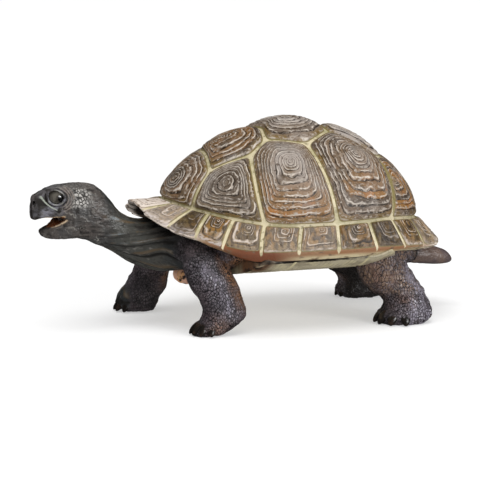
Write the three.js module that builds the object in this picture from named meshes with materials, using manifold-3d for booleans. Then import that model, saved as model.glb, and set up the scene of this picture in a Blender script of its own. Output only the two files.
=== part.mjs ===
// A moulded and hand-painted vinyl tortoise figurine, walking with its mouth open.
// Millimetres, +Z up, floor at z = 0, head towards -Y, the tortoise's left side on +X.
// Places along the body are measured from the middle of the shell. At the end the figure is
// moved along Y so that the middle of its box stands over the origin.

import * as THREE from 'three';
import { mergeVertices } from 'three/addons/utils/BufferGeometryUtils.js';
import Module from 'manifold-3d';

const wasm = await Module();
wasm.setup();

// ---------------------------------------------------------------- driving dimensions

const GAP = 0.3; // clearance between neighbouring mouldings
const WELD = 0.02; // edges shorter than this are closed up after a cut

const CROWN = { y: 2, height: 72 };

// The seam between the large scutes of the dome and the marginal scutes, seen from above.
const SEAM = {
  halfWidth: 40, front: 46.3, rear: 50.5, roundness: 2.25,
  sideHeight: 39.5, frontHeight: 45, rearHeight: 36,
  riseFrom: 12, fallFrom: 25, riseCurve: 1.5, fallCurve: 1.5,
};

// The outer edge of the marginal scutes, which turns up over the neck.
const RIM = {
  halfWidth: 42, front: 58.3, rear: 59, roundness: 2.3,
  sideHeight: 30.2, frontHeight: 45.5, rearHeight: 26.5,
  riseFrom: 24, fallFrom: 20, riseCurve: 1.9, fallCurve: 1.5,
};

const DOME_FULLNESS = { front: 1.7, side: 1.88, rear: 1.82 }; // exponent of the dome's profile
const LIP = { depth: 6, thickness: 1.8 }; // free edge of the shell over the neck and tail
const BRIDGE = { from: -20, to: 28, fade: 9, depth: 3, drop: 4.9 }; // where the shell joins the plastron
const VERTEBRAL_BULGES = [0.6, 1.0, 2.4, 1.6, 0.9]; // from the neck to the tail
const COSTAL_BULGES = [1.2, 1.5, 1.4, 0.9];
const BULGE_EDGE = 3; // the higher, the flatter a scute's top and the rounder its edge
const BULGE_LEAN = { x: 40, y: 52, z: 40, height: 30 }; // scutes rise square to this ellipsoid
const MARGINAL = { bulge: 0.7, edge: 2, lean: 0.6 };

const PLASTRON = {
  floor: 18.1, sideHeight: 25.1, halfWidth: 38.6, thickness: 3, sag: 1.8,
  cornerInset: 4, cornerHeight: 3.4, innerCornerInset: 7, innerCornerHeight: 5.2,
  front: -38, rear: 46, notch: 4, frontHalfWidth: 4, lobeHalfWidth: 17,
  bridgeFront: -17, bridgeRear: 28, bridgeCorner: 8,
};
const GULAR = { x: 0, y: -38, height: 17.6, halfWidth: 5.4, halfLength: 3.8, halfHeight: 3.5 };

const TRUNK = { fill: 0.9, centreHeight: 30, wallHeight: 24, floor: 19 };
const EYE = { x: 5.3, y: -87.1, height: 49.1, halfWidth: 2.4, halfLength: 3.1, halfHeight: 2.95 };
const TONGUE = { x: 0, y: -86.2, height: 38.4, halfWidth: 3, halfLength: 4.2, halfHeight: 1.1, slope: 0.27 };

// Grid sizes of the faceted surfaces: steps around, steps along.
const GRID = {
  carapace: [52, 26], trunk: [30, 12], neck: [20, 9], head: [22, 15], jaw: [14, 7],
  leg: [14, 13], tail: [10, 7], claw: [6, 4], eye: [12, 7], tongue: [10, 5], gular: [10, 6],
};
// The steps along at which one stretch of a surface ends and the next begins.
const CARAPACE_STEP = { seam: 19, rim: 23, under: 24 };
const TRUNK_STEP = { shoulder: 7, wallFoot: 9 };

// Head and neck: y, top, bottom, half width.
const SKULL_SECTIONS = [
  [-95.9, 48.2, 42.8, 1.6],
  [-95.3, 49.7, 41.0, 3.2],
  [-94.0, 50.5, 40.7, 4.3],
  [-91.0, 51.7, 41.0, 5.7],
  [-87.0, 52.9, 40.9, 7.2],
  [-83.6, 53.5, 39.6, 8.2],
  [-82.0, 53.6, 34.4, 8.6],
  [-79.0, 53.7, 33.0, 9.0],
  [-75.0, 53.5, 32.1, 8.9],
  [-72.0, 52.9, 30.8, 8.5],
];
const NECK_SECTIONS = [ // starts behind the skull's flat back
  [-71.7, 52.7, 30.7, 8.5],
  [-69.6, 50.4, 29.7, 8.2],
  [-66.5, 46.5, 28.1, 7.8],
  [-63.9, 42.9, 26.5, 7.8],
  [-60.7, 40.5, 24.3, 8.4],
  [-56.5, 38.8, 22.2, 9.9],
  [-52.7, 38.4, 20.9, 12.2],
  [-47.0, 38.8, 20.1, 17.0],
  [-42.0, 39.0, 20.3, 21.5],
  [-34.0, 39.5, 21.0, 24.0],
];
const JAW_SECTIONS = [
  [-93.3, 36.5, 35.6, 1.3],
  [-92.2, 36.8, 34.3, 2.8],
  [-90.0, 37.4, 33.6, 4.3],
  [-87.0, 38.2, 33.5, 5.7],
  [-84.0, 39.2, 33.5, 7.0],
  [-80.0, 40.0, 33.8, 7.2],
];
const TAIL_SECTIONS = [
  [44.0, 25.0, 17.6, 5.4],
  [51.0, 24.4, 16.8, 5.2],
  [58.0, 23.3, 16.0, 4.6],
  [63.0, 22.1, 15.6, 3.9],
  [67.0, 20.1, 15.8, 2.5],
  [68.6, 18.3, 16.3, 1.2],
];

// Legs, as level sections from the sole up: height, x, y, half width, half length.
const FRONT_LEG_BACK = [ // the foot that has been walked over, under the shoulder
  [0.0, 27.0, -38.2, 5.2, 5.8],
  [2.5, 27.0, -36.2, 6.4, 7.3],
  [5.5, 27.0, -33.2, 6.9, 8.3],
  [8.0, 26.8, -32.2, 6.8, 7.9],
  [11.0, 26.4, -32.7, 6.6, 7.9],
  [15.0, 25.8, -34.4, 6.6, 8.4],
  [19.5, 25.0, -36.3, 6.8, 8.8],
  [26.0, 24.2, -38.6, 6.8, 8.0],
  [31.0, 22.5, -39.0, 5.8, 6.6],
  [35.0, 20.5, -38.5, 2.6, 3.2],
];
const FRONT_LEG_FORWARD = [ // the foot that has just been set down
  [0.0, 27.5, -46.6, 5.2, 5.8],
  [2.5, 27.5, -47.4, 6.4, 7.8],
  [4.5, 27.5, -47.2, 6.9, 8.5],
  [7.5, 27.3, -45.5, 6.8, 8.3],
  [10.0, 27.0, -43.9, 6.6, 7.8],
  [13.0, 26.4, -42.9, 6.6, 7.3],
  [18.0, 25.4, -41.8, 6.8, 7.1],
  [26.0, 24.0, -40.2, 6.8, 7.4],
  [31.0, 22.0, -39.5, 5.8, 6.4],
  [35.0, 20.0, -38.5, 2.6, 3.2],
];
const HIND_LEG = [
  [0.0, 28.5, 36.2, 7.2, 8.2],
  [2.5, 28.5, 37.2, 8.4, 10.2],
  [5.0, 28.3, 37.8, 8.3, 9.6],
  [7.0, 28.0, 38.4, 8.0, 9.0],
  [9.5, 27.6, 37.6, 8.0, 9.0],
  [12.3, 27.0, 34.2, 8.2, 10.1],
  [17.3, 26.0, 30.8, 8.6, 10.3],
  [20.7, 25.5, 29.1, 8.8, 9.8],
  [26.0, 25.0, 26.9, 8.6, 9.4],
  [32.0, 23.0, 26.0, 8.0, 8.6],
];
const HIND_STRIDE = 6.2; // how far the right hind foot trails the left one

const FRONT_CLAW = { count: 5, length: 3.9, radius: 1.2, height: 2.2, sunk: 2.0, spread: 1.9, heading: 0.25 };
const HIND_CLAW = { count: 4, length: 4.6, radius: 1.5, height: 2.4, sunk: 2.4, spread: 1.55, heading: 0.5 };
const CLAW_TIP_HEIGHT = 0.9;
const CLAW_FLATNESS = 0.8; // height of a claw's section over its width

// ---------------------------------------------------------------- scute layout

// The dome's scutes are laid out on a flat chart: the crown is at (0, 0), the unit circle is the
// seam above the marginals, x is the tortoise's left and y is towards its tail.
const JUNCTION = {
  v1c1m: [0.415, -0.91], v1v2c1: [0.287, -0.585], v2c1c2: [0.371, -0.331],
  v2v3c2: [0.278, -0.205], v3c2c3: [0.385, 0.003], v3v4c3: [0.206, 0.162],
  v4c3c4: [0.335, 0.41], v4v5c4: [0.25, 0.48], v5c4m: [0.39, 0.921],
  c1c2m: [0.899, -0.438], c2c3m: [0.995, 0.104], c3c4m: [0.819, 0.574],
};
const mirrored = ([x, y]) => [-x, y];
const acrossBack = (...names) => {
  const left = names.map((name) => JUNCTION[name]);
  return [...left, ...left.map(mirrored).reverse()];
};
const onFlank = (...names) => names.map((name) => JUNCTION[name]);

const VERTEBRALS = [
  { areola: [0, -0.78], corners: acrossBack('v1c1m', 'v1v2c1') },
  { areola: [0, -0.42], corners: acrossBack('v1v2c1', 'v2c1c2', 'v2v3c2') },
  { areola: [0, -0.02], corners: acrossBack('v2v3c2', 'v3c2c3', 'v3v4c3') },
  { areola: [0, 0.31], corners: acrossBack('v3v4c3', 'v4c3c4', 'v4v5c4') },
  { areola: [0, 0.72], corners: acrossBack('v4v5c4', 'v5c4m') },
];
const COSTALS = [
  { areola: [0.488, -0.54], corners: onFlank('v1c1m', 'v1v2c1', 'v2c1c2', 'c1c2m') },
  { areola: [0.53, -0.13], corners: onFlank('c1c2m', 'v2c1c2', 'v2v3c2', 'v3c2c3', 'c2c3m') },
  { areola: [0.455, 0.24], corners: onFlank('c2c3m', 'v3c2c3', 'v3v4c3', 'v4c3c4', 'c3c4m') },
  { areola: [0.52, 0.5], corners: onFlank('c3c4m', 'v4c3c4', 'v4v5c4', 'v5c4m') },
];
// Seams between marginals on the left side, in degrees from the front: on the seam, on the rim.
const MARGINAL_SEAMS = [
  [9, 9], [24.5, 28], [35, 43], [49, 55], [64, 70], [81, 83], [96, 94],
  [111, 108], [125, 122], [142, 136], [157, 151], [170, 168],
];

const SCUTES = VERTEBRALS.map((scute, i) => ({ ...scute, bulge: VERTEBRAL_BULGES[i] }));
COSTALS.forEach(({ areola, corners }, i) => {
  const bulge = COSTAL_BULGES[i];
  SCUTES.push({ areola, bulge, corners });
  SCUTES.push({ areola: mirrored(areola), bulge, corners: corners.map(mirrored) });
});

// How far out a chart point lies in a scute: 0 at its areola, 1 on its border. The borders are
// straight lines between the corners, and the unit circle where two corners lie on it.
function scuteGauge([x, y], { areola, corners }) {
  const [dx, dy] = [x - areola[0], y - areola[1]];
  let gauge = 0;
  corners.forEach(([ax, ay], i) => {
    const [bx, by] = corners[(i + 1) % corners.length];
    if (Math.hypot(ax, ay) > 0.98 && Math.hypot(bx, by) > 0.98) {
      return;
    }
    const [nx, ny] = [by - ay, ax - bx];
    const reach = (ax - areola[0]) * nx + (ay - areola[1]) * ny;
    gauge = Math.max(gauge, (dx * nx + dy * ny) / reach);
  });
  const stretch = dx * dx + dy * dy;
  if (stretch > 0) {
    const along = areola[0] * dx + areola[1] * dy;
    const inside = 1 - areola[0] ** 2 - areola[1] ** 2;
    gauge = Math.max(gauge, stretch / (Math.sqrt(along ** 2 + stretch * inside) - along));
  }
  return gauge;
}

// ---------------------------------------------------------------- shapes

// A closed surface on the grid of a sphere. place(along, around) gives a point: along runs from
// 0 to 1 between the poles, and around from 0 to 1, counterclockwise seen from the first pole.
function closedSurface([aroundSteps, alongSteps], place) {
  const geometry = new THREE.SphereGeometry(1, aroundSteps, alongSteps);
  const position = geometry.attributes.position;
  for (let i = 0; i < position.count; i++) {
    const row = Math.floor(i / (aroundSteps + 1));
    const column = i % (aroundSteps + 1);
    const around = (column % aroundSteps) / aroundSteps;
    const pole = row === 0 || row === alongSteps;
    position.setXYZ(i, ...place(row / alongSteps, pole ? 0 : around));
  }
  geometry.deleteAttribute('normal');
  geometry.deleteAttribute('uv');
  return mergeVertices(geometry, 1e-3);
}

const lerp = THREE.MathUtils.lerp;
const smoothstep = THREE.MathUtils.smoothstep;
const signedPower = (value, power) => Math.sign(value) * Math.abs(value) ** power;

// A smooth table: each row's first number is its place, and the rest are read off between rows.
function smoothTable(rows) {
  const places = rows.map((row) => row[0]);
  const values = rows.flatMap((row) => row.slice(1));
  const curve = new THREE.CubicInterpolant(places, values, rows[0].length - 1);
  return (place) => [...curve.evaluate(THREE.MathUtils.clamp(place, places[0], places.at(-1)))];
}

// A body lofted along Y through upright sections of top, bottom and half width. Its ends are flat.
function loftAlongY(rows, grid, roundness = 2.2) {
  const section = smoothTable(rows);
  const [start, end] = [rows[0][0], rows.at(-1)[0]];
  const cap = 1 / grid[1];
  return closedSurface(grid, (along, around) => {
    const y = lerp(start, end, THREE.MathUtils.clamp((along - cap) / (1 - 2 * cap), 0, 1));
    const [top, bottom, halfWidth] = section(y);
    const size = along === 0 || along === 1 ? 0 : 1;
    const angle = around * 2 * Math.PI;
    const x = size * halfWidth * signedPower(Math.cos(angle), 2 / roundness);
    const z = size * ((top - bottom) / 2) * signedPower(Math.sin(angle), 2 / roundness);
    return [x, y, (top + bottom) / 2 + z];
  });
}

// A leg: level sections from the sole at z = 0 up into the body. side is 1 for left, -1 for right.
function legSurface(rows, side, stride = 0) {
  const section = smoothTable(rows);
  const top = rows.at(-1)[0];
  const cap = 1 / GRID.leg[1];
  return closedSurface(GRID.leg, (along, around) => {
    const z = top * THREE.MathUtils.clamp(1 - (along - cap) / (1 - 2 * cap), 0, 1) ** 1.25;
    const [x, y, halfWidth, halfLength] = section(z);
    const size = along === 0 || along === 1 ? 0 : 1;
    const angle = around * 2 * Math.PI;
    const trail = stride * (1 - smoothstep(z, 0, top));
    return [
      side * x + size * halfWidth * Math.cos(angle),
      y + trail + size * halfLength * Math.sin(angle),
      z,
    ];
  });
}

// ---------------------------------------------------------------- shell

// A superellipse seen from above. angle is 0 at the front and a quarter turn on the left.
function planPoint(angle, { halfWidth, front, rear, roundness }) {
  const [s, c] = [Math.sin(angle), Math.cos(angle)];
  const length = c > 0 ? front : rear;
  return [halfWidth * signedPower(s, 2 / roundness), -length * signedPower(c, 2 / roundness)];
}

// A ring around the shell, level along the side, rising towards the front and the rear.
function ringPoint(angle, ring) {
  const [x, y] = planPoint(angle, ring);
  const rise = Math.max(0, (-y - ring.riseFrom) / (ring.front - ring.riseFrom)) ** ring.riseCurve;
  const fall = Math.max(0, (y - ring.fallFrom) / (ring.rear - ring.fallFrom)) ** ring.fallCurve;
  const front = (ring.frontHeight - ring.sideHeight) * rise;
  const rear = (ring.rearHeight - ring.sideHeight) * fall;
  return [x, y, ring.sideHeight + front + rear];
}

// The dome without its scutes: reach is 0 at the crown and 1 on the seam above the marginals.
function domePoint(reach, angle) {
  const [sx, sy, sz] = ringPoint(angle, SEAM);
  const c = Math.cos(angle);
  const end = c > 0 ? DOME_FULLNESS.front : DOME_FULLNESS.rear;
  const power = 2 / lerp(DOME_FULLNESS.side, end, c * c);
  const outward = Math.sin((reach * Math.PI) / 2) ** power;
  const upward = Math.max(0, Math.cos((reach * Math.PI) / 2)) ** power;
  return [
    sx * outward,
    CROWN.y + (sy - CROWN.y) * outward,
    sz + (CROWN.height - sz) * upward,
  ];
}

// Each scute stands proud of the dome, most at its areola and not at all along its border.
function domeBulge(reach, angle) {
  const chart = [reach * Math.sin(angle), -reach * Math.cos(angle)];
  let best = { gauge: 1, bulge: 0 };
  for (const scute of SCUTES) {
    const gauge = scuteGauge(chart, scute);
    if (gauge < best.gauge) {
      best = { gauge, bulge: scute.bulge };
    }
  }
  return best.bulge * (1 - best.gauge ** BULGE_EDGE);
}

function raisedDomePoint(reach, angle) {
  const point = new THREE.Vector3(...domePoint(reach, angle));
  const outward = new THREE.Vector3(
    point.x / BULGE_LEAN.x,
    (point.y - CROWN.y) / BULGE_LEAN.y,
    (point.z - BULGE_LEAN.height) / BULGE_LEAN.z,
  );
  return point.addScaledVector(outward.normalize(), domeBulge(reach, angle)).toArray();
}

// 1 along the bridge to the plastron, fading to 0 towards the free lips at the front and rear.
function bridgeShare(y) {
  const front = smoothstep(y, BRIDGE.from - BRIDGE.fade, BRIDGE.from + BRIDGE.fade);
  return front * (1 - smoothstep(y, BRIDGE.to - BRIDGE.fade, BRIDGE.to + BRIDGE.fade));
}

// How far a place lies across its own marginal: 0 in the middle, 1 on a seam to its neighbour.
function marginalGauge(share, angle) {
  const fromFront = THREE.MathUtils.radToDeg(Math.min(angle, 2 * Math.PI - angle));
  const seams = MARGINAL_SEAMS.map(([onSeam, onRim]) => lerp(onSeam, onRim, share));
  const bounds = [-seams[0], ...seams, 360 - seams.at(-1)];
  const next = bounds.findIndex((bound) => bound > fromFront);
  const [start, end] = [bounds[next - 1], bounds[next]];
  return Math.abs((2 * (fromFront - start)) / (end - start) - 1);
}

// The band of marginals: share is 0 on the seam and 1 on the rim.
function marginalPoint(share, angle) {
  const seam = new THREE.Vector3(...ringPoint(angle, SEAM));
  const rim = new THREE.Vector3(...ringPoint(angle, RIM));
  const outward = new THREE.Vector3(Math.sin(angle), -Math.cos(angle), MARGINAL.lean).normalize();
  const gauge = Math.max(Math.abs(2 * share - 1), marginalGauge(share, angle));
  const bulge = MARGINAL.bulge * (1 - gauge ** MARGINAL.edge);
  return seam.lerp(rim, share).addScaledVector(outward, bulge).toArray();
}

// Under the rim: the shell turns in to a free lip, or down to the parting line on the bridge.
function underPoint(angle) {
  const [x, y, z] = ringPoint(angle, RIM);
  const bridge = bridgeShare(y);
  const inward = 1 - lerp(LIP.depth, BRIDGE.depth, bridge) / Math.hypot(x, y);
  return [x * inward, y * inward, z - lerp(LIP.thickness, BRIDGE.drop, bridge)];
}

// The whole shell: the dome, the marginals, the turned-in edge and a cone to the middle inside.
function carapaceSurface() {
  const { seam, rim, under } = CARAPACE_STEP;
  const steps = GRID.carapace[1];
  return closedSurface(GRID.carapace, (along, around) => {
    const angle = around * 2 * Math.PI;
    const step = Math.round(along * steps);
    if (step <= seam) {
      return raisedDomePoint(step / seam, angle);
    }
    if (step <= rim) {
      return marginalPoint((step - seam) / (rim - seam), angle);
    }
    const inner = new THREE.Vector3(...underPoint(angle));
    const centre = new THREE.Vector3(0, CROWN.y, TRUNK.centreHeight);
    return inner.lerp(centre, (step - under) / (steps - under)).toArray();
  });
}

// The body inside the shell: the dome drawn in towards its middle, closed below by a flat belly.
function trunkSurface() {
  const { shoulder, wallFoot } = TRUNK_STEP;
  const steps = GRID.trunk[1];
  const drawnIn = ([x, y, z]) => [
    x * TRUNK.fill,
    CROWN.y + (y - CROWN.y) * TRUNK.fill,
    TRUNK.centreHeight + (z - TRUNK.centreHeight) * TRUNK.fill,
  ];
  return closedSurface(GRID.trunk, (along, around) => {
    const angle = around * 2 * Math.PI;
    const step = Math.round(along * steps);
    if (step <= shoulder) {
      return drawnIn(domePoint(step / shoulder, angle));
    }
    const [x, y, z] = drawnIn(domePoint(1, angle));
    if (step < wallFoot) {
      return [x, y, lerp(z, TRUNK.wallHeight, (step - shoulder) / (wallFoot - shoulder))];
    }
    const inward = Math.cos((((step - wallFoot) / (steps - wallFoot)) * Math.PI) / 2);
    return [x * inward, y * inward, lerp(TRUNK.floor, TRUNK.wallHeight, inward)];
  });
}

// The plastron: its curved section swept along the body, trimmed to its outline from above.
function plastronSolid() {
  const plan = new THREE.Shape(plastronOutline());
  const trim = new THREE.ExtrudeGeometry(plan, { depth: 2 * CROWN.height, bevelEnabled: false });
  return solid(plastronSweep()).intersect(solid(trim)).add(solid(ellipsoid(GRID.gular, GULAR)));
}

// The section is a shallow trough of even thickness that turns up to the parting line.
function plastronSweep() {
  const { floor, sideHeight, halfWidth, thickness, sag } = PLASTRON;
  const { cornerInset, cornerHeight, innerCornerInset, innerCornerHeight } = PLASTRON;
  const shoulder = halfWidth / 2;
  const [corner, innerCorner] = [halfWidth - cornerInset, halfWidth - innerCornerInset];
  const section = new THREE.Shape();
  section.moveTo(-halfWidth, sideHeight);
  section.quadraticCurveTo(-corner, floor + cornerHeight, -shoulder, floor + sag);
  section.quadraticCurveTo(0, floor - sag, shoulder, floor + sag);
  section.quadraticCurveTo(corner, floor + cornerHeight, halfWidth, sideHeight);
  section.lineTo(halfWidth - thickness, sideHeight);
  section.quadraticCurveTo(innerCorner, floor + innerCornerHeight, shoulder, floor + sag + thickness);
  section.lineTo(-shoulder, floor + sag + thickness);
  section.quadraticCurveTo(-innerCorner, floor + innerCornerHeight, thickness - halfWidth, sideHeight);
  const depth = 2 * RIM.rear;
  const sweep = new THREE.ExtrudeGeometry(section, { depth, bevelEnabled: false, curveSegments: 6 });
  return sweep.translate(0, 0, -depth / 2).rotateX(Math.PI / 2);
}

// Half of the plastron's outline from above, from the front lobe to the notch under the tail.
function plastronOutline() {
  const { front, rear, notch, frontHalfWidth, lobeHalfWidth, halfWidth } = PLASTRON;
  const { bridgeFront, bridgeRear, bridgeCorner } = PLASTRON;
  const half = new THREE.Path();
  half.moveTo(frontHalfWidth, front);
  half.quadraticCurveTo(lobeHalfWidth - 2, front + 1, lobeHalfWidth - 1, front + 10);
  half.quadraticCurveTo(lobeHalfWidth + 1, bridgeFront - 3, halfWidth - 6, bridgeFront);
  half.quadraticCurveTo(halfWidth, bridgeFront + 1, halfWidth, bridgeFront + bridgeCorner);
  half.lineTo(halfWidth, bridgeRear - bridgeCorner);
  half.quadraticCurveTo(halfWidth, bridgeRear - 1, halfWidth - 6, bridgeRear);
  half.quadraticCurveTo(lobeHalfWidth, bridgeRear + 2, lobeHalfWidth - 2, bridgeRear + 8);
  half.quadraticCurveTo(lobeHalfWidth - 3, rear - 2, lobeHalfWidth - 9, rear);
  half.lineTo(0, rear - notch);
  const left = half.getPoints(5);
  const right = left.slice(0, -1).reverse().map(({ x, y }) => new THREE.Vector2(-x, y));
  return [...left, ...right];
}

// ---------------------------------------------------------------- head, eyes and claws

// An ellipsoid about its middle. slope lifts it by that much for each millimetre towards the tail.
function ellipsoid(grid, { x, y, height, halfWidth, halfLength, halfHeight, slope = 0 }) {
  return closedSurface(grid, (along, around) => {
    const [polar, angle] = [along * Math.PI, around * 2 * Math.PI];
    const back = halfLength * Math.sin(polar) * Math.sin(angle);
    const up = halfHeight * Math.cos(polar) + slope * back;
    return [x + halfWidth * Math.sin(polar) * Math.cos(angle), y + back, height + up];
  });
}

// A claw: a blunt horn from root to tip, leaning down to just above the floor.
function clawSurface(root, direction, { length, radius }) {
  const side = [-direction[1], direction[0]];
  return closedSurface(GRID.claw, (along, around) => {
    const angle = -around * 2 * Math.PI;
    const thickness = radius * Math.min(1, along * GRID.claw[1]) * Math.sqrt(1 - along ** 2.4);
    const reach = length * along;
    const sideways = thickness * Math.cos(angle);
    const upward = CLAW_FLATNESS * thickness * Math.sin(angle);
    return [
      root[0] + direction[0] * reach + side[0] * sideways,
      root[1] + direction[1] * reach + side[1] * sideways,
      lerp(root[2], CLAW_TIP_HEIGHT, along ** 1.6) + upward,
    ];
  });
}

// The claws of one foot, fanned about the way it points, from the inner to the outer one.
function clawSurfaces(rows, side, claw, stride = 0) {
  const [x, y, halfWidth, halfLength] = smoothTable(rows)(claw.height);
  const surfaces = [];
  for (let i = 0; i < claw.count; i++) {
    const fan = (i / (claw.count - 1) - 0.5) * claw.spread + claw.heading;
    const direction = [side * Math.sin(fan), -Math.cos(fan)];
    const root = [
      side * (x + (halfWidth - claw.sunk) * Math.sin(fan)),
      y + stride - (halfLength - claw.sunk) * Math.cos(fan),
      claw.height,
    ];
    surfaces.push(clawSurface(root, direction, claw));
  }
  return surfaces;
}

// ---------------------------------------------------------------- cutting neighbours apart

function solid(geometry) {
  let merged = geometry.clone();
  merged.deleteAttribute('normal');
  merged.deleteAttribute('uv');
  merged = mergeVertices(merged, 1e-3);
  const faces = [];
  const index = merged.index.array;
  for (let i = 0; i < index.length; i += 3) {
    const [a, b, c] = index.slice(i, i + 3);
    if (a !== b && b !== c && a !== c) {
      faces.push(a, b, c);
    }
  }
  return new wasm.Manifold(new wasm.Mesh({
    numProp: 3,
    vertProperties: new Float32Array(merged.attributes.position.array),
    triVerts: new Uint32Array(faces),
  }));
}

function geometryOf(body) {
  const mesh = body.getMesh();
  const geometry = new THREE.BufferGeometry();
  geometry.setAttribute('position', new THREE.BufferAttribute(mesh.vertProperties, 3));
  geometry.setIndex(new THREE.BufferAttribute(mesh.triVerts, 1));
  return geometry;
}

// The same body swollen by the clearance, used as a cutter.
function grown(body) {
  const geometry = geometryOf(body);
  geometry.computeVertexNormals();
  const { position, normal } = geometry.attributes;
  const [point, outward] = [new THREE.Vector3(), new THREE.Vector3()];
  for (let i = 0; i < position.count; i++) {
    outward.fromBufferAttribute(normal, i);
    point.fromBufferAttribute(position, i).addScaledVector(outward, GAP * 1.15);
    position.setXYZ(i, point.x, point.y, point.z);
  }
  return solid(geometry);
}

const largest = (body) => body.decompose().reduce((a, b) => (b.volume() > a.volume() ? b : a));
const cutBy = (body, ...neighbours) => {
  const rest = neighbours.reduce((left, neighbour) => left.subtract(grown(neighbour)), body);
  return largest(rest).simplify(WELD);
};

// ---------------------------------------------------------------- the figurine

const VINYL = {
  shell: { color: 0x8a7763, roughness: 0.55 },
  belly: { color: 0xb0a98f, roughness: 0.55 },
  skin: { color: 0x46443f, roughness: 0.5 },
  limb: { color: 0x4c403d, roughness: 0.5 },
  claw: { color: 0x1d1a19, roughness: 0.35 },
  eye: { color: 0x2b2722, roughness: 0.12 },
  mouth: { color: 0x9b6436, roughness: 0.45 },
};

const tortoise = new THREE.Group();

function addPiece(name, body, finish) {
  const material = new THREE.MeshStandardMaterial({ ...finish, metalness: 0 });
  const geometry = geometryOf(body);
  geometry.computeVertexNormals();
  const mesh = new THREE.Mesh(geometry, material);
  mesh.name = name;
  tortoise.add(mesh);
}

// Each body is cut by its neighbours' whole shapes, in this order.
const plastron = largest(plastronSolid());
const wholeTrunk = solid(trunkSurface());
const wholeShell = solid(carapaceSurface());
const wholeNeck = solid(loftAlongY(NECK_SECTIONS, GRID.neck));
addPiece('carapace', cutBy(wholeShell, wholeTrunk, plastron), VINYL.shell);
addPiece('plastron', plastron, VINYL.belly);
addPiece('trunk', cutBy(wholeTrunk, plastron), VINYL.skin);
addPiece('neck', cutBy(wholeNeck, wholeTrunk, wholeShell, plastron), VINYL.skin);

const sides = { left: 1, right: -1 };
const eyes = Object.entries(sides).map(([side, sign]) => (
  [side, solid(ellipsoid(GRID.eye, { ...EYE, x: sign * EYE.x }))]
));
const fullHead = solid(loftAlongY(SKULL_SECTIONS, GRID.head));
const head = cutBy(fullHead, ...eyes.map(([, eye]) => eye));
const jaw = cutBy(solid(loftAlongY(JAW_SECTIONS, GRID.jaw)), fullHead);
const tongue = cutBy(solid(ellipsoid(GRID.tongue, TONGUE)), jaw, fullHead);
addPiece('head', head, VINYL.skin);
addPiece('lower_jaw', jaw, VINYL.skin);
addPiece('tongue', tongue, VINYL.mouth);
eyes.forEach(([side, eye]) => addPiece(`eye_${side}`, eye, VINYL.eye));

const wholeTail = solid(loftAlongY(TAIL_SECTIONS, GRID.tail, 2));
const tail = cutBy(wholeTail, wholeTrunk, wholeShell, plastron);
addPiece('tail', tail, VINYL.limb);

const LEGS = [
  { name: 'front_left', rows: FRONT_LEG_BACK, side: 1, claw: FRONT_CLAW, stride: 0 },
  { name: 'front_right', rows: FRONT_LEG_FORWARD, side: -1, claw: FRONT_CLAW, stride: 0 },
  { name: 'hind_left', rows: HIND_LEG, side: 1, claw: HIND_CLAW, stride: 0 },
  { name: 'hind_right', rows: HIND_LEG, side: -1, claw: HIND_CLAW, stride: HIND_STRIDE },
];
for (const { name, rows, side, claw, stride } of LEGS) {
  const wholeLeg = solid(legSurface(rows, side, stride));
  const leg = cutBy(wholeLeg, wholeTrunk, wholeShell, plastron, wholeNeck);
  addPiece(`leg_${name}`, leg, VINYL.limb);
  clawSurfaces(rows, side, claw, stride).forEach((surface, i) => {
    addPiece(`claw_${name}_${i + 1}`, cutBy(solid(surface), leg), VINYL.claw);
  });
}

const box = new THREE.Box3().setFromObject(tortoise);
tortoise.position.y = -(box.min.y + box.max.y) / 2;

export default tortoise;
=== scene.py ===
"""A moulded and hand-painted vinyl tortoise figurine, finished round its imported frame.

The file is laid out as an add-on: tables hold the driving sizes, the relief, camera and light are
settings, each piece or group of like pieces has an operator, and main() runs them in order. Lengths
inside the formulas are in millimetres, in the shell's own frame: +Z up, the head towards -Y and the
left side on +X.
"""

import math
from types import SimpleNamespace as Sizes

import bpy
import numpy as np
from bpy.props import FloatProperty, IntProperty, PointerProperty
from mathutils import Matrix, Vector


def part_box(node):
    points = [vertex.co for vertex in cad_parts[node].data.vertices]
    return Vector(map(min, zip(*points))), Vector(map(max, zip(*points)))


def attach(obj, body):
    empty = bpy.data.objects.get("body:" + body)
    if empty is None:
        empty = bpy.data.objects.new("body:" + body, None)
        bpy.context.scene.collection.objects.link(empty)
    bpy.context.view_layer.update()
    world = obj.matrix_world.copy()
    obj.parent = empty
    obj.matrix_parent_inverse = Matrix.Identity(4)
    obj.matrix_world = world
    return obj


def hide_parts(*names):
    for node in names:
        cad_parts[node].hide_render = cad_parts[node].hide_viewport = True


bl_info = {
    "name": "Vinyl Tortoise Figurine",
    "version": (1, 0, 0),
    "blender": (4, 5, 0),
    "location": "View3D > Sidebar > Tortoise",
    "description": "Finishes a painted vinyl tortoise figurine round its packed frame",
    "category": "Add Mesh",
}

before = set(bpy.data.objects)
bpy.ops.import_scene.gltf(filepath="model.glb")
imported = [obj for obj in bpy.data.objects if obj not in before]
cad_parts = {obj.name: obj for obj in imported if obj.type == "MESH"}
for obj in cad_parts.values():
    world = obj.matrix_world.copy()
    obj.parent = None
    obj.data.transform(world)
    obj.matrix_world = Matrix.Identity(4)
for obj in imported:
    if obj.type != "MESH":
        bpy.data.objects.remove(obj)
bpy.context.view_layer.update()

MM = 0.001
SEED = 7

# ------------------------------------------------------------ driving sizes, in millimetres

CROWN = Sizes(y=2, height=71.5)
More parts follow.
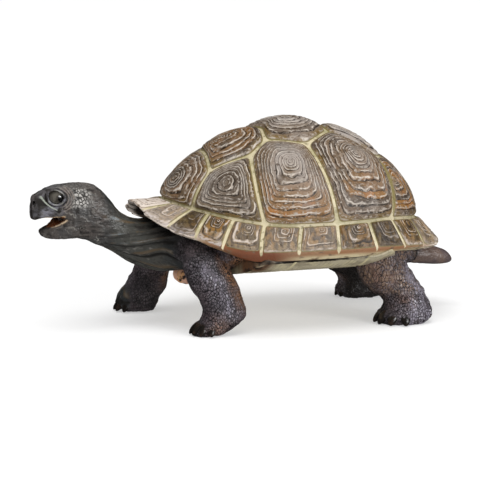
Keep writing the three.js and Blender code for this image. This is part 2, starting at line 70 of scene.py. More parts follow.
# The seam between the dome's scutes and the marginals, and the marginals' outer rim.
SEAM = Sizes(
    half_width=40, front=44.4, rear=49.8, roundness=2.1,
    side_height=39.5, front_height=45, rear_height=36,
    rise_from=12, fall_from=25, rise_curve=1.5, fall_curve=1.5,
)
RIM = Sizes(
    half_width=42, front=58.3, rear=59, roundness=2.3,
    side_height=30.2, front_height=45.5, rear_height=26.5,
    rise_from=24, fall_from=20, rise_curve=1.9, fall_curve=1.5, droop=2.1,
)
FULLNESS = Sizes(front=1.58, side=1.87, rear=1.8)
LEAN = Sizes(x=40, y=52, z=40, height=30)  # scutes rise square to this ellipsoid
LIP = Sizes(depth=6, thickness=2.2)
BRIDGE = Sizes(start=-31, end=29, fade=8, depth=2.2, drop=3.5)
WALL = Sizes(fill=0.93, height=30)  # the shell's inner wall, drawn in towards its middle

# The scutes' corners on a flat chart of the dome: the crown at (0, 0), the unit circle is the
# seam above the marginals, x is the left side and y the rear.
JUNCTION = {
    "v1c1m": (0.415, -0.907), "v1v2c1": (0.26, -0.583), "v2c1c2": (0.355, -0.33),
    "v2v3c2": (0.26, -0.205), "v3c2c3": (0.373, 0.005), "v3v4c3": (0.18, 0.175),
    "v4c3c4": (0.3, 0.43), "v4v5c4": (0.19, 0.51), "v5c4m": (0.375, 0.925),
    "c1c2m": (0.897, -0.438), "c2c3m": (0.993, 0.105), "c3c4m": (0.812, 0.582),
}
# The right half mirrors the left, apart from these corners: as on a real shell, the sides differ.
RIGHT_JUNCTION = {"v1v2c1": (-0.25, -0.48), "v3v4c3": (-0.18, 0.225)}
# Name, areola, corners on the left half, bulge, rings, rust at the areola and at the lower edge,
# how pale the middle is, and how pale (above 0) or dark (below 0) the whole scute is.
VERTEBRALS = [
    ("vertebral_1", (0, -0.76), "v1c1m v1v2c1", 1.0, 8, 0.3, 0.45, 0.0, -0.4),
    ("vertebral_2", (0, -0.42), "v1v2c1 v2c1c2 v2v3c2", 2.1, 9, 0.5, 0.35, 0.0, -0.35),
    ("vertebral_3", (0, -0.02), "v2v3c2 v3c2c3 v3v4c3", 2.2, 9, 0.1, 0.25, 1.2, 0.15),
    ("vertebral_4", (0, 0.31), "v3v4c3 v4c3c4 v4v5c4", 1.9, 8, 0.2, 0.3, 0.8, 1.25),
    ("vertebral_5", (0, 0.72), "v4v5c4 v5c4m", 0.9, 9, 0.4, 0.75, 0.0, -0.1),
]
COSTALS = [
    ("costal_{}_1", (0.475, -0.535), "v1c1m v1v2c1 v2c1c2 c1c2m", 1.2, 9, 0.0, 0.1, 0.1, -0.12),
    ("costal_{}_2", (0.522, -0.13), "c1c2m v2c1c2 v2v3c2 v3c2c3 c2c3m", 1.5, 12, 0.1, 0.85, 0.9, -0.08),
    ("costal_{}_3", (0.443, 0.248), "c2c3m v3c2c3 v3v4c3 v4c3c4 c3c4m", 1.4, 12, 0.2, 1.15, 0.5, -0.16),
    ("costal_{}_4", (0.5, 0.515), "c3c4m v4c3c4 v4v5c4 v5c4m", 0.9, 10, 0.9, 1.15, 0.1, -0.16),
]
# Seams between marginals, in degrees from the front: on the seam ring, on the rim.
MARGINAL_SEAMS = [
    (9, 9), (24.5, 28), (35, 43), (49, 55), (64, 70), (81, 83), (96, 94),
    (111, 108), (125, 122), (142, 136), (157, 151), (170, 168),
]

PLASTRON = Sizes(
    floor=19.2, side_rise=7.4, trough=3, half_width=39.6, thickness=3, front=-38, rear=46,
    lobe_front=17, lobe_rear=15, bridge_front=-29, bridge_rear=38, corner=4,
    rear_rise=4.5,
)
PLASTRON_SEAMS = (-31, -22, -8, 20, 34)
GULAR = Sizes(y=-38, z=17.6, half_width=5.4, half_length=3.8, half_height=3.5)

EYE = Sizes(x=5.0, y=-88.0, z=48.9, half_width=2.3, half_length=2.95, half_height=2.5)
EYE_TURN = 0.14  # the eyes follow the head's sides, which widen backwards
TONGUE = Sizes(y=-86.4, z=38.2, half_width=3, half_length=4.2, half_height=1.1, slope=0.3)

# Upright sections along Y: y, top, bottom, half width.
HEAD_AND_NECK = [
    (-95.7, 48.0, 42.2, 1.8), (-95.2, 49.1, 40.6, 3.0), (-93.8, 49.9, 41.0, 4.3),
    (-91.0, 51.1, 41.5, 5.7), (-87.0, 52.3, 41.5, 7.0), (-85.2, 52.7, 41.2, 7.6),
    (-83.4, 53.0, 35.4, 8.1), (-79.0, 53.2, 33.2, 8.8), (-75.0, 53.0, 32.2, 8.8),
    (-72.4, 52.2, 30.8, 8.5), (-69.6, 49.9, 29.7, 8.2), (-66.5, 46.3, 28.1, 7.8),
    (-63.9, 42.9, 26.5, 7.8), (-60.7, 40.5, 24.3, 8.4), (-56.5, 38.8, 22.2, 9.9),
    (-52.7, 38.4, 20.9, 12.2), (-47.0, 38.8, 20.1, 17.0), (-42.0, 39.0, 20.3, 21.5),
    (-34.0, 39.5, 21.0, 24.0),
]
JAW = [
    (-92.8, 36.9, 35.8, 0.8), (-92.0, 37.3, 34.7, 1.7), (-90.6, 37.9, 33.9, 2.8),
    (-89.0, 38.5, 33.6, 4.2), (-87.3, 39.6, 33.5, 5.9), (-85.6, 41.0, 33.5, 7.3),
    (-83.6, 42.6, 33.5, 8.0), (-80.0, 43.0, 33.6, 8.3),
]
JAW_TROUGH = 2.6  # how far the mouth's floor lies below the lower lip
TAIL = [
    (44.0, 25.0, 17.6, 5.4), (51.0, 24.4, 16.8, 5.2), (58.0, 23.3, 16.0, 4.6),
    (63.0, 22.1, 15.6, 3.9), (67.0, 20.1, 15.8, 2.5), (68.6, 18.3, 16.3, 1.2),
]
# The flesh inside the shell: full behind each opening, and a thin core where nothing shows.
TRUNK = [
    (-40, 38, 22, 20), (-36, 41, 20.5, 26), (-31, 43, 20.5, 30), (-27, 43, 21, 30),
    (-20, 42, 21, 24), (-12, 38, 21, 14), (-3, 30, 22, 6), (14, 30, 22, 6), (19, 33, 21, 14),
    (25, 38, 20, 33.5), (32, 37, 19.5, 33), (40, 33, 19.5, 28), (46, 30, 19.5, 20),
    (50, 27, 19.5, 9),
]
# Level sections from the sole up: height, x, y, half width, half length.
FRONT_LEG_BACK = [
    (0.0, 27.0, -38.2, 5.2, 5.8), (2.5, 27.0, -36.2, 6.4, 7.3), (5.5, 27.0, -33.2, 6.9, 8.3),
    (8.0, 26.8, -32.2, 6.8, 7.9), (11.0, 26.4, -32.7, 6.6, 7.9), (15.0, 25.8, -34.4, 6.6, 8.4),
    (19.5, 25.0, -36.3, 6.8, 8.8), (26.0, 24.2, -38.6, 6.8, 8.0), (31.0, 22.5, -39.0, 5.8, 6.6),
    (35.0, 20.5, -38.5, 2.6, 3.2),
]
FRONT_LEG_FORWARD = [
    (0.0, 27.5, -46.6, 5.2, 5.8), (2.5, 27.5, -47.4, 6.4, 7.8), (4.5, 27.5, -47.2, 6.9, 8.5),
    (7.5, 27.3, -45.5, 6.8, 8.3), (10.0, 27.0, -43.9, 6.6, 7.8), (13.0, 26.4, -42.9, 6.6, 7.3),
    (18.0, 25.4, -41.8, 6.8, 7.1), (26.0, 24.0, -40.2, 6.8, 7.4), (31.0, 22.0, -39.5, 5.8, 6.4),
    (35.0, 20.0, -38.5, 2.6, 3.2),
]
HIND_LEG = [
    (0.0, 28.5, 36.2, 7.2, 8.2), (2.5, 28.5, 37.2, 8.4, 10.2), (5.0, 28.3, 37.8, 8.3, 9.6),
    (7.0, 28.0, 38.2, 8.0, 8.8), (9.5, 27.6, 36.9, 8.0, 8.6), (12.3, 27.0, 34.6, 8.2, 10.4),
    (17.3, 26.0, 30.8, 8.6, 10.3), (20.7, 25.5, 29.1, 8.8, 9.8), (26.0, 25.0, 26.9, 8.6, 9.4),
    (32.0, 23.0, 26.0, 8.0, 8.6),
]
HIND_STRIDE = 6.2
FRONT_CLAW = Sizes(count=5, length=3.6, radius=1.55, height=2.2, sunk=2.0, spread=1.9, heading=0.25)
HIND_CLAW = Sizes(count=4, length=4.0, radius=1.9, height=2.4, sunk=2.4, spread=1.55, heading=0.5)
FAR_CLAW = Sizes(count=4, length=3.1, radius=1.7, height=2.3, sunk=3.0, spread=1.4, heading=0.35)
CLAW_TIP_HEIGHT = 0.9
LEGS = [
    ("front_left", FRONT_LEG_BACK, 1, FRONT_CLAW, 0),
    ("front_right", FRONT_LEG_FORWARD, -1, FRONT_CLAW, 0),
    ("hind_left", HIND_LEG, 1, HIND_CLAW, 0),
    ("hind_right", HIND_LEG, -1, FAR_CLAW, HIND_STRIDE),
]
# Mesh columns round each kind of piece, and rows of mesh to each growth ring.
COLUMNS = Sizes(shell=640, vertebral=176, costal=184, marginal=88, plastron=144)
RING_ROWS = 8
# The stage: its places and sizes are in metres, its lens and sensor in millimetres.
FLOOR_REACH = 3.0  # from the middle to the floor's sides
CAMERA = Sizes(aim=(0, -0.00275, 0.029), lens=194, sensor=36, clip=20)
LAMP_AIM = (0, 0, 0.03)
LAMPS = [  # kind, name, place, size and power. A sun's size is its angle, an area lamp's its width.
    ("SUN", "softbox", (0.22, -0.2, 1.0), math.radians(50), 1.95),
    ("AREA", "side", (0.74, 0.36, 0.36), 0.3, 2.4),
    ("AREA", "catch", (0.565, 0.48, 0.2), 0.2, 2.0),
]
FLESH_NODES = ["trunk", "neck", "head", "lower_jaw", "tail"] + [f"leg_{leg[0]}" for leg in LEGS]

# The shell's frame stands this far behind the model's origin, along Y.
SHELL_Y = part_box("carapace")[0].y / MM + RIM.front


# ------------------------------------------------------------ numbers

def mix(a, b, t):
    return a + (b - a) * t


def smooth(value, low, high):
    """0 below low and 1 above high, with a smooth cubic step between them."""
    t = np.clip((value - low) / (high - low), 0, 1)
    return t * t * (3 - 2 * t)


def bell(value, middle, width):
    """A Gaussian bump: 1 at the middle, and 0.37 one width away from it."""
    return np.exp(-(((value - middle) / width) ** 2))


def signed_power(value, power):
    return np.sign(value) * np.abs(value) ** power


def around(columns):
    """Evenly spaced angles once round, one for each column."""
    return np.arange(columns) * 2 * np.pi / columns


def with_poles(first, values, last):
    """A field's values on the rings, between those at the two poles."""
    return np.concatenate([[first], np.ravel(values), [last]])


def unit(vectors):
    return vectors / np.linalg.norm(vectors, axis=-1, keepdims=True)


def read_table(rows, places):
    """Values between a table's rows: cubic pieces, with slopes held back so that they don't swing."""
    table = np.array(rows, float)
    at, values = table[:, 0], table[:, 1:]
    secant = np.diff(values, axis=0) / np.diff(at)[:, None]
    before, after = secant[[0, *range(len(secant))]], secant[[*range(len(secant)), -1]]
    most = 3 * np.minimum(np.abs(before), np.abs(after)) * (before * after > 0)
    slope = np.clip(np.gradient(values, at, axis=0), -most, most)
    places = np.clip(places, at[0], at[-1])
    i = np.clip(np.searchsorted(at, places) - 1, 0, len(at) - 2)
    step = (at[i + 1] - at[i])[..., None]
    t = ((places - at[i]) / (at[i + 1] - at[i]))[..., None]
    start = (1 + 2 * t) * (1 - t) ** 2 * values[i] + t * (1 - t) ** 2 * step * slope[i]
    end = t * t * (3 - 2 * t) * values[i + 1] + t * t * (t - 1) * step * slope[i + 1]
    return start + end


def lattice(cell, seed):
    """A random number from 0 to 1 for each whole-number place."""
    mask = np.uint64(0xFFFFFFFF)
    keys = (cell.astype(np.int64) & 0xFFFFFFFF).astype(np.uint64)
    h = keys[..., 0] * np.uint64(73856093) ^ keys[..., 1] * np.uint64(19349663)
    h ^= keys[..., 2] * np.uint64(83492791) ^ np.uint64(seed * 2654435761 & 0xFFFFFFFF)
    for shift, factor in ((15, 2246822519), (13, 3266489917), (16, 668265263)):
        h = ((h & mask) ^ ((h & mask) >> np.uint64(shift))) * np.uint64(factor)
    return ((h >> np.uint64(8)) & np.uint64(0xFFFFFF)) / float(0xFFFFFF)


def noise(points, size, seed):
    """Random numbers on a cubic lattice of that size, blended smoothly. From -1 to 1."""
    scaled = points / size
    cell = np.floor(scaled)
    t = scaled - cell
    t = t * t * (3 - 2 * t)
    total = 0
    for corner in np.ndindex(2, 2, 2):
        weight = np.prod(np.where(corner, t, 1 - t), axis=-1)
        total = total + weight * lattice(cell + corner, seed)
    return 2 * total - 1


def cells(points, size, seed, jitter=0.75):
    """A pattern of scales: one jittered point per lattice cube. Gives how far a place is from the
    nearest border, 0 on it and about 1 in a scale's middle, and the scale's random number."""
    scaled = points / size
    home = np.floor(scaled)
    first = np.full(len(points), 9.0)
    second = first.copy()
    number = np.zeros(len(points))
    for offset in np.ndindex(3, 3, 3):
        cell = home + (np.array(offset) - 1)
        centre = cell + 0.5 + jitter * (np.stack([lattice(cell, seed + k) for k in range(3)], -1) - 0.5)
        distance = np.linalg.norm(centre - scaled, axis=-1)
        nearer = distance < first
        second = np.where(nearer, first, np.minimum(second, distance))
        first = np.where(nearer, distance, first)
        number = np.where(nearer, lattice(cell, seed + 3), number)
    return np.clip((second - first) / 0.8, 0, 1), number


def distance_to_loop(points, loop):
    """How far each point is from a closed line of straight pieces."""
    start = loop[None]
    along = np.roll(loop, -1, axis=0)[None] - start
    to_point = points[:, None] - start
    share = np.clip((to_point * along).sum(-1) / (along**2).sum(-1), 0, 1)
    return np.linalg.norm(to_point - share[..., None] * along, axis=-1).min(1)


# ------------------------------------------------------------ meshes

def closed_faces(ring_count, columns):
    """Faces of a closed surface of rings between two poles. The first pole is vertex 0, then come
    the rings, and the last vertex is the other pole."""
    column = np.arange(columns)
    ahead = (column + 1) % columns
    rows = 1 + columns * np.arange(ring_count - 1)[:, None]
    quads = np.stack([rows + column, rows + columns + column, rows + columns + ahead, rows + ahead], -1)
    last = 1 + columns * (ring_count - 1)
    pole = last + columns
    first_fan = np.stack([0 * column, 1 + column, 1 + ahead], -1)
    last_fan = np.stack([0 * column + pole, last + ahead, last + column], -1)
    return quads.reshape(-1, 4), np.concatenate([first_fan, last_fan])


def closed_surface(first, rings, last):
    """Points, quads and triangles of a closed surface from a pole, rings and the other pole."""
    points = np.concatenate([[first], rings.reshape(-1, 3), [last]])
    return points, *closed_faces(*rings.shape[:2])


def facing_out(points, quads, triangles):
    """The same surface with its faces turned outwards, told by the sign of its volume."""
    halves = np.concatenate([triangles, quads[:, [0, 1, 2]], quads[:, [0, 2, 3]]])
    a, b, c = (points[halves[:, k]] for k in range(3))
    if (a * np.cross(b, c)).sum() < 0:
        return points, quads[:, ::-1], triangles[:, ::-1]
    return points, quads, triangles


def add_mesh(name, points, quads, triangles, material=None, attributes=None):
    """A mesh object from points in millimetres, with its faces turned outwards."""
    points, quads, triangles = facing_out(points, quads, triangles)
    mesh = bpy.data.meshes.new(name)
    mesh.vertices.add(len(points))
    placed = (points + (0, SHELL_Y, 0)) * MM
    mesh.vertices.foreach_set("co", placed.astype(np.float32).ravel())
    sizes = np.repeat([4, 3], [len(quads), len(triangles)])
    corners = np.concatenate([quads.ravel(), triangles.ravel()])
    mesh.loops.add(len(corners))
    mesh.loops.foreach_set("vertex_index", corners.astype(np.int32))
    mesh.polygons.add(len(sizes))
    mesh.polygons.foreach_set("loop_start", (np.cumsum(sizes) - sizes).astype(np.int32))
    mesh.polygons.foreach_set("use_smooth", np.ones(len(sizes), bool))
    for key, values in (attributes or {}).items():
        field = mesh.attributes.new(key, "FLOAT", "POINT")
        field.data.foreach_set("value", np.asarray(values, np.float32).ravel())
    mesh.update(calc_edges=True)
    mesh.validate()
    piece = bpy.data.objects.new(name, mesh)
    bpy.context.scene.collection.objects.link(piece)
    if material:
        mesh.materials.append(material)
    return piece


def add_closed(name, first, rings, last, material=None, attributes=None):
    """A mesh object from a pole, rings of points and the other pole."""
    return add_mesh(name, *closed_surface(first, rings, last), material, attributes)


def finish_piece(piece, slot, *nodes):
    """The piece rides on the figurine's one body and stands for the nodes it replaces."""
    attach(piece, "root")
    if nodes:
        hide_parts(*nodes)


# ------------------------------------------------------------ the shell's surfaces

def on_ring(angle, ring):
    """A superellipse seen from above, level along the side and curving up or down to the ends.
    The angle is 0 at the front and a quarter turn on the left."""
    c = np.cos(angle)
    x = ring.half_width * signed_power(np.sin(angle), 2 / ring.roundness)
    y = -np.where(c > 0, ring.front, ring.rear) * signed_power(c, 2 / ring.roundness)
    rise = np.clip((-y - ring.rise_from) / (ring.front - ring.rise_from), 0, None) ** ring.rise_curve
    fall = np.clip((y - ring.fall_from) / (ring.rear - ring.fall_from), 0, None) ** ring.fall_curve
    z = ring.side_height + (ring.front_height - ring.side_height) * rise
    return np.stack([x, y, z + (ring.rear_height - ring.side_height) * fall], -1)


def on_dome(reach, angle):
    """The dome under its scutes: a superellipse arch from the crown, reach 0, to the seam ring,
    reach 1, whose exponent changes from the front by the side to the rear."""
    seam = on_ring(angle, SEAM)
    c = np.cos(angle)
    fullness = mix(FULLNESS.side, np.where(c > 0, FULLNESS.front, FULLNESS.rear), c * c)
    outward = np.sin(reach * np.pi / 2) ** (2 / fullness)
    upward = np.clip(np.cos(reach * np.pi / 2), 0, 1) ** (2 / fullness)
    x = seam[..., 0] * outward
    y = CROWN.y + (seam[..., 1] - CROWN.y) * outward
    return np.stack([x, y, seam[..., 2] + (CROWN.height - seam[..., 2]) * upward], -1)


def dome_chart(chart):
    """The dome's surface and the way out of it at places on the flat chart."""
    reach = np.hypot(chart[..., 0], chart[..., 1])
    points = on_dome(np.clip(reach, 0, 1), np.arctan2(chart[..., 0], -chart[..., 1]))
    out = (points - (0, CROWN.y, LEAN.height)) / (LEAN.x, LEAN.y, LEAN.z)
    return points, unit(out)


def marginal_bounds(share):
    """Angles of all marginal seams from the front, once round the shell, share 0 on the seam ring."""
    left = np.array([mix(a, b, share) for a, b in MARGINAL_SEAMS])
    return np.radians(np.concatenate([left, 360 - left[::-1], left[:1] + 360]))


def seam_gap(angle, share):
    """How far an angle is from the nearest seam between marginals, in radians."""
    return np.abs((angle[..., None] - marginal_bounds(share) + np.pi) % (2 * np.pi) - np.pi).min(-1)


def lip_notches(x):
    """The notches between the knobs along the front lip, four millimetres apart."""
    return (1 - smooth(np.abs(x), 11, 15)) * bell((x / 4) % 1, 0.5, 0.16)


def rim_line(angle):
    """The rim before its notches. Beside the lip the front marginals hang a little lower."""
    rim = on_ring(angle, RIM)
    turned = np.degrees(np.arccos(np.cos(angle)))
    droop = RIM.droop * smooth(turned, 3, 12) * (1 - smooth(turned, 28, 46))
    return rim - droop[..., None] * (0, 0, 1)


def scalloped_rim(angle):
    """The rim, drawn in a little where two marginals meet, most at the front and the rear, and
    notched along the front lip."""
    rim = rim_line(angle)
    flare = smooth(np.abs(rim[..., 1] - 1), 26, 52)
    inward = 0.9 * flare * bell(seam_gap(angle, 1), 0, 0.035)
    inward = inward + 0.8 * lip_notches(rim[..., 0]) * (np.cos(angle) > 0)
    return rim - inward[..., None] * np.stack([np.sin(angle), -np.cos(angle), 0 * angle], -1)


def under_edge(angle):
    """Where the shell's underside meets the bridge's parting line, or the lip's inner edge."""
    rim = rim_line(angle)
    bridge = smooth(rim[..., 1], BRIDGE.start - BRIDGE.fade, BRIDGE.start + BRIDGE.fade)
    bridge = bridge * (1 - smooth(rim[..., 1], BRIDGE.end - BRIDGE.fade, BRIDGE.end + BRIDGE.fade))
    flat = np.hypot(rim[..., 0], rim[..., 1])
    inward = 1 - mix(LIP.depth, BRIDGE.depth, bridge) / flat
    down = mix(LIP.thickness, BRIDGE.drop, bridge)
    return np.stack([rim[..., 0] * inward, rim[..., 1] * inward, rim[..., 2] - down], -1)


def shell_body():
    """The shell without its scutes, as rings from the crown outside to the crown inside: the arch
    of the dome, a straight band to the rim, a rounded turn under it and the inner wall."""
    columns = COLUMNS.shell
    angle = around(columns)
    seam, rim, under = on_ring(angle, SEAM), scalloped_rim(angle), under_edge(angle)
    dome = [on_dome(reach, angle) for reach in np.linspace(0, 1, 57)[1:]]
    band = [mix(seam, rim, share) for share in np.linspace(0, 1, 11)[1:]]
    corner = rim * (0.4, 0.4, 0.25) + under * (0.6, 0.6, 0.75) + (rim - under) * (0.5, 0.5, 0)
    turns = np.linspace(0, 1, 9)[1:]
    turn = [(1 - t) ** 2 * rim + 2 * t * (1 - t) * corner + t * t * under for t in turns]
    middle = np.array([0, CROWN.y, WALL.height])
    wall = [middle + (on_dome(reach, angle) - middle) * WALL.fill for reach in np.linspace(0.97, 0.1, 8)]
    rings = np.array([*dome, *band, *turn, *wall])
    below = np.concatenate([np.zeros(len(dome) + len(band)), turns, np.full(len(wall), 1.2)])
    share = np.concatenate([np.zeros(len(dome)), np.linspace(0, 1, 11)[1:], np.ones(len(turn) + len(wall))])
    gap = np.array([seam_gap(angle, place) for place in share]) * np.linalg.norm(rings[..., :2], axis=-1)
    from_front = np.degrees(np.abs((angle + np.pi) % (2 * np.pi) - np.pi))
    rusty = bell(from_front, 64, 16) + 0.35 * smooth(from_front, 60, 75)
    front = (1 - smooth(from_front, 36, 50)) + smooth(from_front, 130, 150)
    notch = lip_notches(rim[:, 0]) * (np.cos(angle) > 0)
    fields = {
        "below": with_poles(0, np.repeat(below, columns), 1.2),
        "share": with_poles(0, np.repeat(share, columns), 1),
        "seam_gap": with_poles(9, gap, 9),
        "rusty": with_poles(0, np.tile(np.clip(rusty, 0, 1), len(rings)), 0),
        "front": with_poles(0, np.tile(front, len(rings)), 0),
        "notch": with_poles(0, np.tile(notch, len(rings)), 0),
    }
    first = np.array([0, CROWN.y, CROWN.height])
    last = middle + (first - middle) * WALL.fill
    return first, rings, last, fields


def scute_chart(areola, corners, arc, rows, columns):
    """Rings of chart places from the areola out to a scute's border. Each edge pulls on a ray as
    strongly as it is near. The p-norm of the pulls gives rounded rings, and its power grows
    outwards, so that the last ring has the border's own corners. arc puts the edges whose two
    ends lie on the unit circle on that circle."""
    turn = around(columns)
    ray = np.stack([np.cos(turn), np.sin(turn)], -1)
    areola = np.array(areola, float)
    pulls = []
    for a, b in zip(np.array(corners, float), np.roll(np.array(corners, float), -1, axis=0)):
        if arc and min(np.hypot(*a), np.hypot(*b)) > 0.98:
            along = ray @ areola
            pulls.append(1 / (np.sqrt(along**2 + 1 - areola @ areola) - along))
        else:
            normal = np.array([b[1] - a[1], a[0] - b[0]])
            pulls.append(np.clip(ray @ normal / ((a - areola) @ normal), 0, None))
    gauge = np.linspace(0, 1, rows + 1)[1:]
    power = mix(3, 16, gauge**1.6)[:, None]
    pull = (np.array(pulls)[:, None] ** power).sum(0) ** (1 / power)
    circle = 1.15 * (1 / pull[-1]).min()
    reach = gauge[:, None] * mix(circle, 1 / pull, gauge[:, None] ** 0.7)
    return gauge, areola + reach[..., None] * ray


def growth_phase(gauge, points, rings, seed):
    """Which growth ring a place lies in: whole numbers are the grooves between rings. Their
    widths vary from scute to scute, and they waver a little."""
    even = rings * gauge**0.85
    sway = 0.4 * np.sin(2 * np.pi * (gauge * 1.6 + lattice(np.array([seed, 1, 2]), SEED)))
    waver = 0.4 * noise(points, 6, seed) + 0.26 * noise(points, 2.2, seed + 1)
    waver = waver + 0.07 * noise(points, 0.9, seed + 4)
    return np.clip(even + (sway + waver) * np.sin(np.pi * gauge) ** 0.6, 0, rings)


def ring_relief(phase):
    """Each ring slopes up outwards to a rounded crest and falls into the groove round it."""
    part = phase % 1
    return (1 - (1 - part) ** 1.6) * (1 - smooth(part, 0.66, 1))


def scute_plate(name, areola, corners, columns, surface, look, material, arc=True):
    """A closed plate lying on the shell, over a chart of rings round its areola. Its border is sunk
    below the shell's surface and it stands proud further in. Its height adds an edge step, a bulge
    and the growth rings."""
    rows = look.rings * RING_ROWS
    gauge, chart = scute_chart(areola, corners, arc, rows, columns)
    base, out = surface(chart)
    centre, centre_out = surface(np.array(areola, float))
    spread = np.repeat(gauge, columns).reshape(rows, columns)
    edge = distance_to_loop(base.reshape(-1, 3), base[-1]).reshape(rows, columns)
    phase = growth_phase(spread, base, look.rings, look.seed)
    step = mix(-look.sunk, look.proud, smooth(edge, 0, look.edge_width))
    grain = 0.04 * noise(base, 0.9, look.seed + 2) + 0.1 * noise(base, 3.5, look.seed + 3)
    fine = 0.2 * ring_relief(3 * phase + 0.5 * noise(base, 1.8, look.seed + 5))
    relief = look.ring_depth * (ring_relief(phase) + fine) * smooth(edge, 0.5, 2.0)
    band = lattice(np.stack([np.floor(phase), 0 * phase + look.seed, 0 * phase], -1), SEED)
    height = step + look.bulge * (1 - spread**3) + relief + grain * smooth(edge, 0.4, 1.5)
    top = base + out * height[..., None]
    half = base[rows // 2]
    under = np.array([base[-1] - out[-1] * 0.9, half - out[rows // 2] * 1.3])
    rings = np.concatenate([top, under])
    first = centre + centre_out * (look.proud + look.bulge)
    last = centre - centre_out * 1.3
    down = np.concatenate([chart, chart[-1:], chart[rows // 2][None]])[..., 1] - areola[1]
    fall = down if look.banded else first[2] - rings[..., 2]
    lower = np.clip(fall / look.drop, -0.3, 1)
    rust = mix(look.rust, look.rust_low, smooth(lower, 0, 1))
    pad = np.zeros(2 * columns)
    pale = look.pale * (1 - smooth(spread, 0.25, 0.8)) + look.tone
    fields = {
        "ring": with_poles(0, np.append(phase, pad + look.rings), 0),
        "edge": with_poles(9, np.append(edge, pad), 0),
        "rust": with_poles(look.rust, rust, look.rust),
        "pale": with_poles(look.pale + look.tone, np.append(pale, pad), 0),
        "band": with_poles(0.5, np.append(band, pad), 0),
        "low": with_poles(0, lower, 0),
    }
    finish_piece(add_closed(name, first, rings, last, material, fields), "shell")


# ------------------------------------------------------------ flesh

def loft(rows, steps, columns, roundness=2.2, beak=None):
    """Upright superellipse sections of top, bottom and half width along Y, closed by poles. In
    front of the place called beak the lower half is squarer, with a sharp edge along each side,
    and the upper half is broader over the eyes."""
    y = np.linspace(rows[0][0], rows[-1][0], steps)
    top, bottom, half_width = read_table(rows, y).T[..., None]
    turn = around(columns)
    squareness = 0 * y if beak is None else smooth(-y, -beak, -beak + 3)
    brow = 0 * y if beak is None else bell(y, beak - 4, 4)
    lower, upper = mix(roundness, 5.5, squareness[:, None]), mix(roundness, 3.3, brow[:, None])
    power = 2 / np.where(np.sin(turn) < 0, lower, upper)
    x = half_width * signed_power(np.cos(turn), power)
    z = (top + bottom) / 2 + (top - bottom) / 2 * signed_power(np.sin(turn), power)
    rings = np.stack([x, np.repeat(y, columns).reshape(x.shape), z], -1)
    return rings[0].mean(0), rings, rings[-1].mean(0)


def leg(rows, side, stride, steps=70, columns=72):
    """Level ellipse sections from the sole up. A trailing leg leans back from its top."""
    top = rows[-1][0]
    z = np.linspace(0, top, steps)
    x, y, half_width, half_length = read_table(rows, z).T[..., None]
    turn = around(columns)
    trail = stride * (1 - smooth(z, 0, top))[:, None]
    px = side * x + half_width * np.cos(turn)
    py = y + trail + half_length * np.sin(turn)
    rings = np.stack([px, py, np.repeat(z, columns).reshape(px.shape)], -1)
    return rings[0].mean(0), rings, rings[-1].mean(0)


ZOOM = Sizes(head=1.75, far=58, near=71, middle=40)


def zoom_tables():
    y = np.linspace(-130, 90, 2201)
    scale = mix(1, ZOOM.head, smooth(-y, ZOOM.far, ZOOM.near))
    steps = np.diff(y) * (scale[1:] + scale[:-1]) / 2
    stretched = np.concatenate([[0], np.cumsum(steps)])
    return y, stretched - np.interp(0, y, stretched), scale


def zoomed(points, back=False):
    """Swells space smoothly towards the head, or back again, so that an even mesh is finer there."""
    y, stretched, scale = zoom_tables()
    place = points[:, 1]
    true_y = np.interp(place, stretched, y) if back else place
    size = np.interp(true_y, y, scale)
    size = 1 / size if back else size
    new_y = true_y if back else np.interp(place, y, stretched)
    return np.stack([points[:, 0] * size, new_y, ZOOM.middle + (points[:, 2] - ZOOM.middle) * size], -1)


def mesh_arrays(mesh):
    """Points in millimetres in the shell's frame, quads and triangles of a mesh."""
    points = np.empty(len(mesh.vertices) * 3, np.float32)
    mesh.vertices.foreach_get("co", points)
    corners = np.empty(len(mesh.loops), np.int32)
    mesh.loops.foreach_get("vertex_index", corners)
    sizes = np.empty(len(mesh.polygons), np.int32)
    mesh.polygons.foreach_get("loop_total", sizes)
    starts = np.cumsum(sizes) - sizes
    quads = corners[starts[sizes == 4][:, None] + np.arange(4)]
    triangles = corners[starts[sizes == 3][:, None] + np.arange(3)]
    return points.reshape(-1, 3).astype(float) / MM - (0, SHELL_Y, 0), quads, triangles


def fused(parts, voxel):
    """One skin round overlapping closed bodies, from Blender's voxel remesh."""
    bodies, count = [], 0
    for part in parts:
        points, quads, triangles = facing_out(*closed_surface(*part))
        bodies.append((points, quads + count, triangles + count))
        count += len(points)
    points, quads, triangles = (np.concatenate(arrays) for arrays in zip(*bodies))
    rough = add_mesh("rough", zoomed(points), quads, triangles)
    remesh = rough.modifiers.new("fuse", "REMESH")
    remesh.mode = "VOXEL"
    remesh.voxel_size = voxel * MM
    remesh.adaptivity = 0
    shown = rough.evaluated_get(bpy.context.evaluated_depsgraph_get())
    points, quads, triangles = mesh_arrays(shown.to_mesh())
    shown.to_mesh_clear()
    bpy.data.objects.remove(rough)
    return zoomed(points, back=True), quads, triangles


def edges_of(quads, triangles):
    pairs = [quads[:, [k, (k + 1) % 4]] for k in range(4)]
    pairs += [triangles[:, [k, (k + 1) % 3]] for k in range(3)]
    return np.unique(np.sort(np.concatenate(pairs), axis=1), axis=0)


def relaxed(points, edges, times):
    """Moves each point halfway to the middle of its neighbours, again and again."""
    count = len(points)
    degree = np.bincount(edges.ravel(), minlength=count)[:, None]
    for _ in range(times):
        total = np.stack([
            np.bincount(edges[:, 0], points[edges[:, 1], k], count)
            + np.bincount(edges[:, 1], points[edges[:, 0], k], count)
            for k in range(3)
        ], -1)
        points = points + 0.5 * (total / degree - points)
    return points


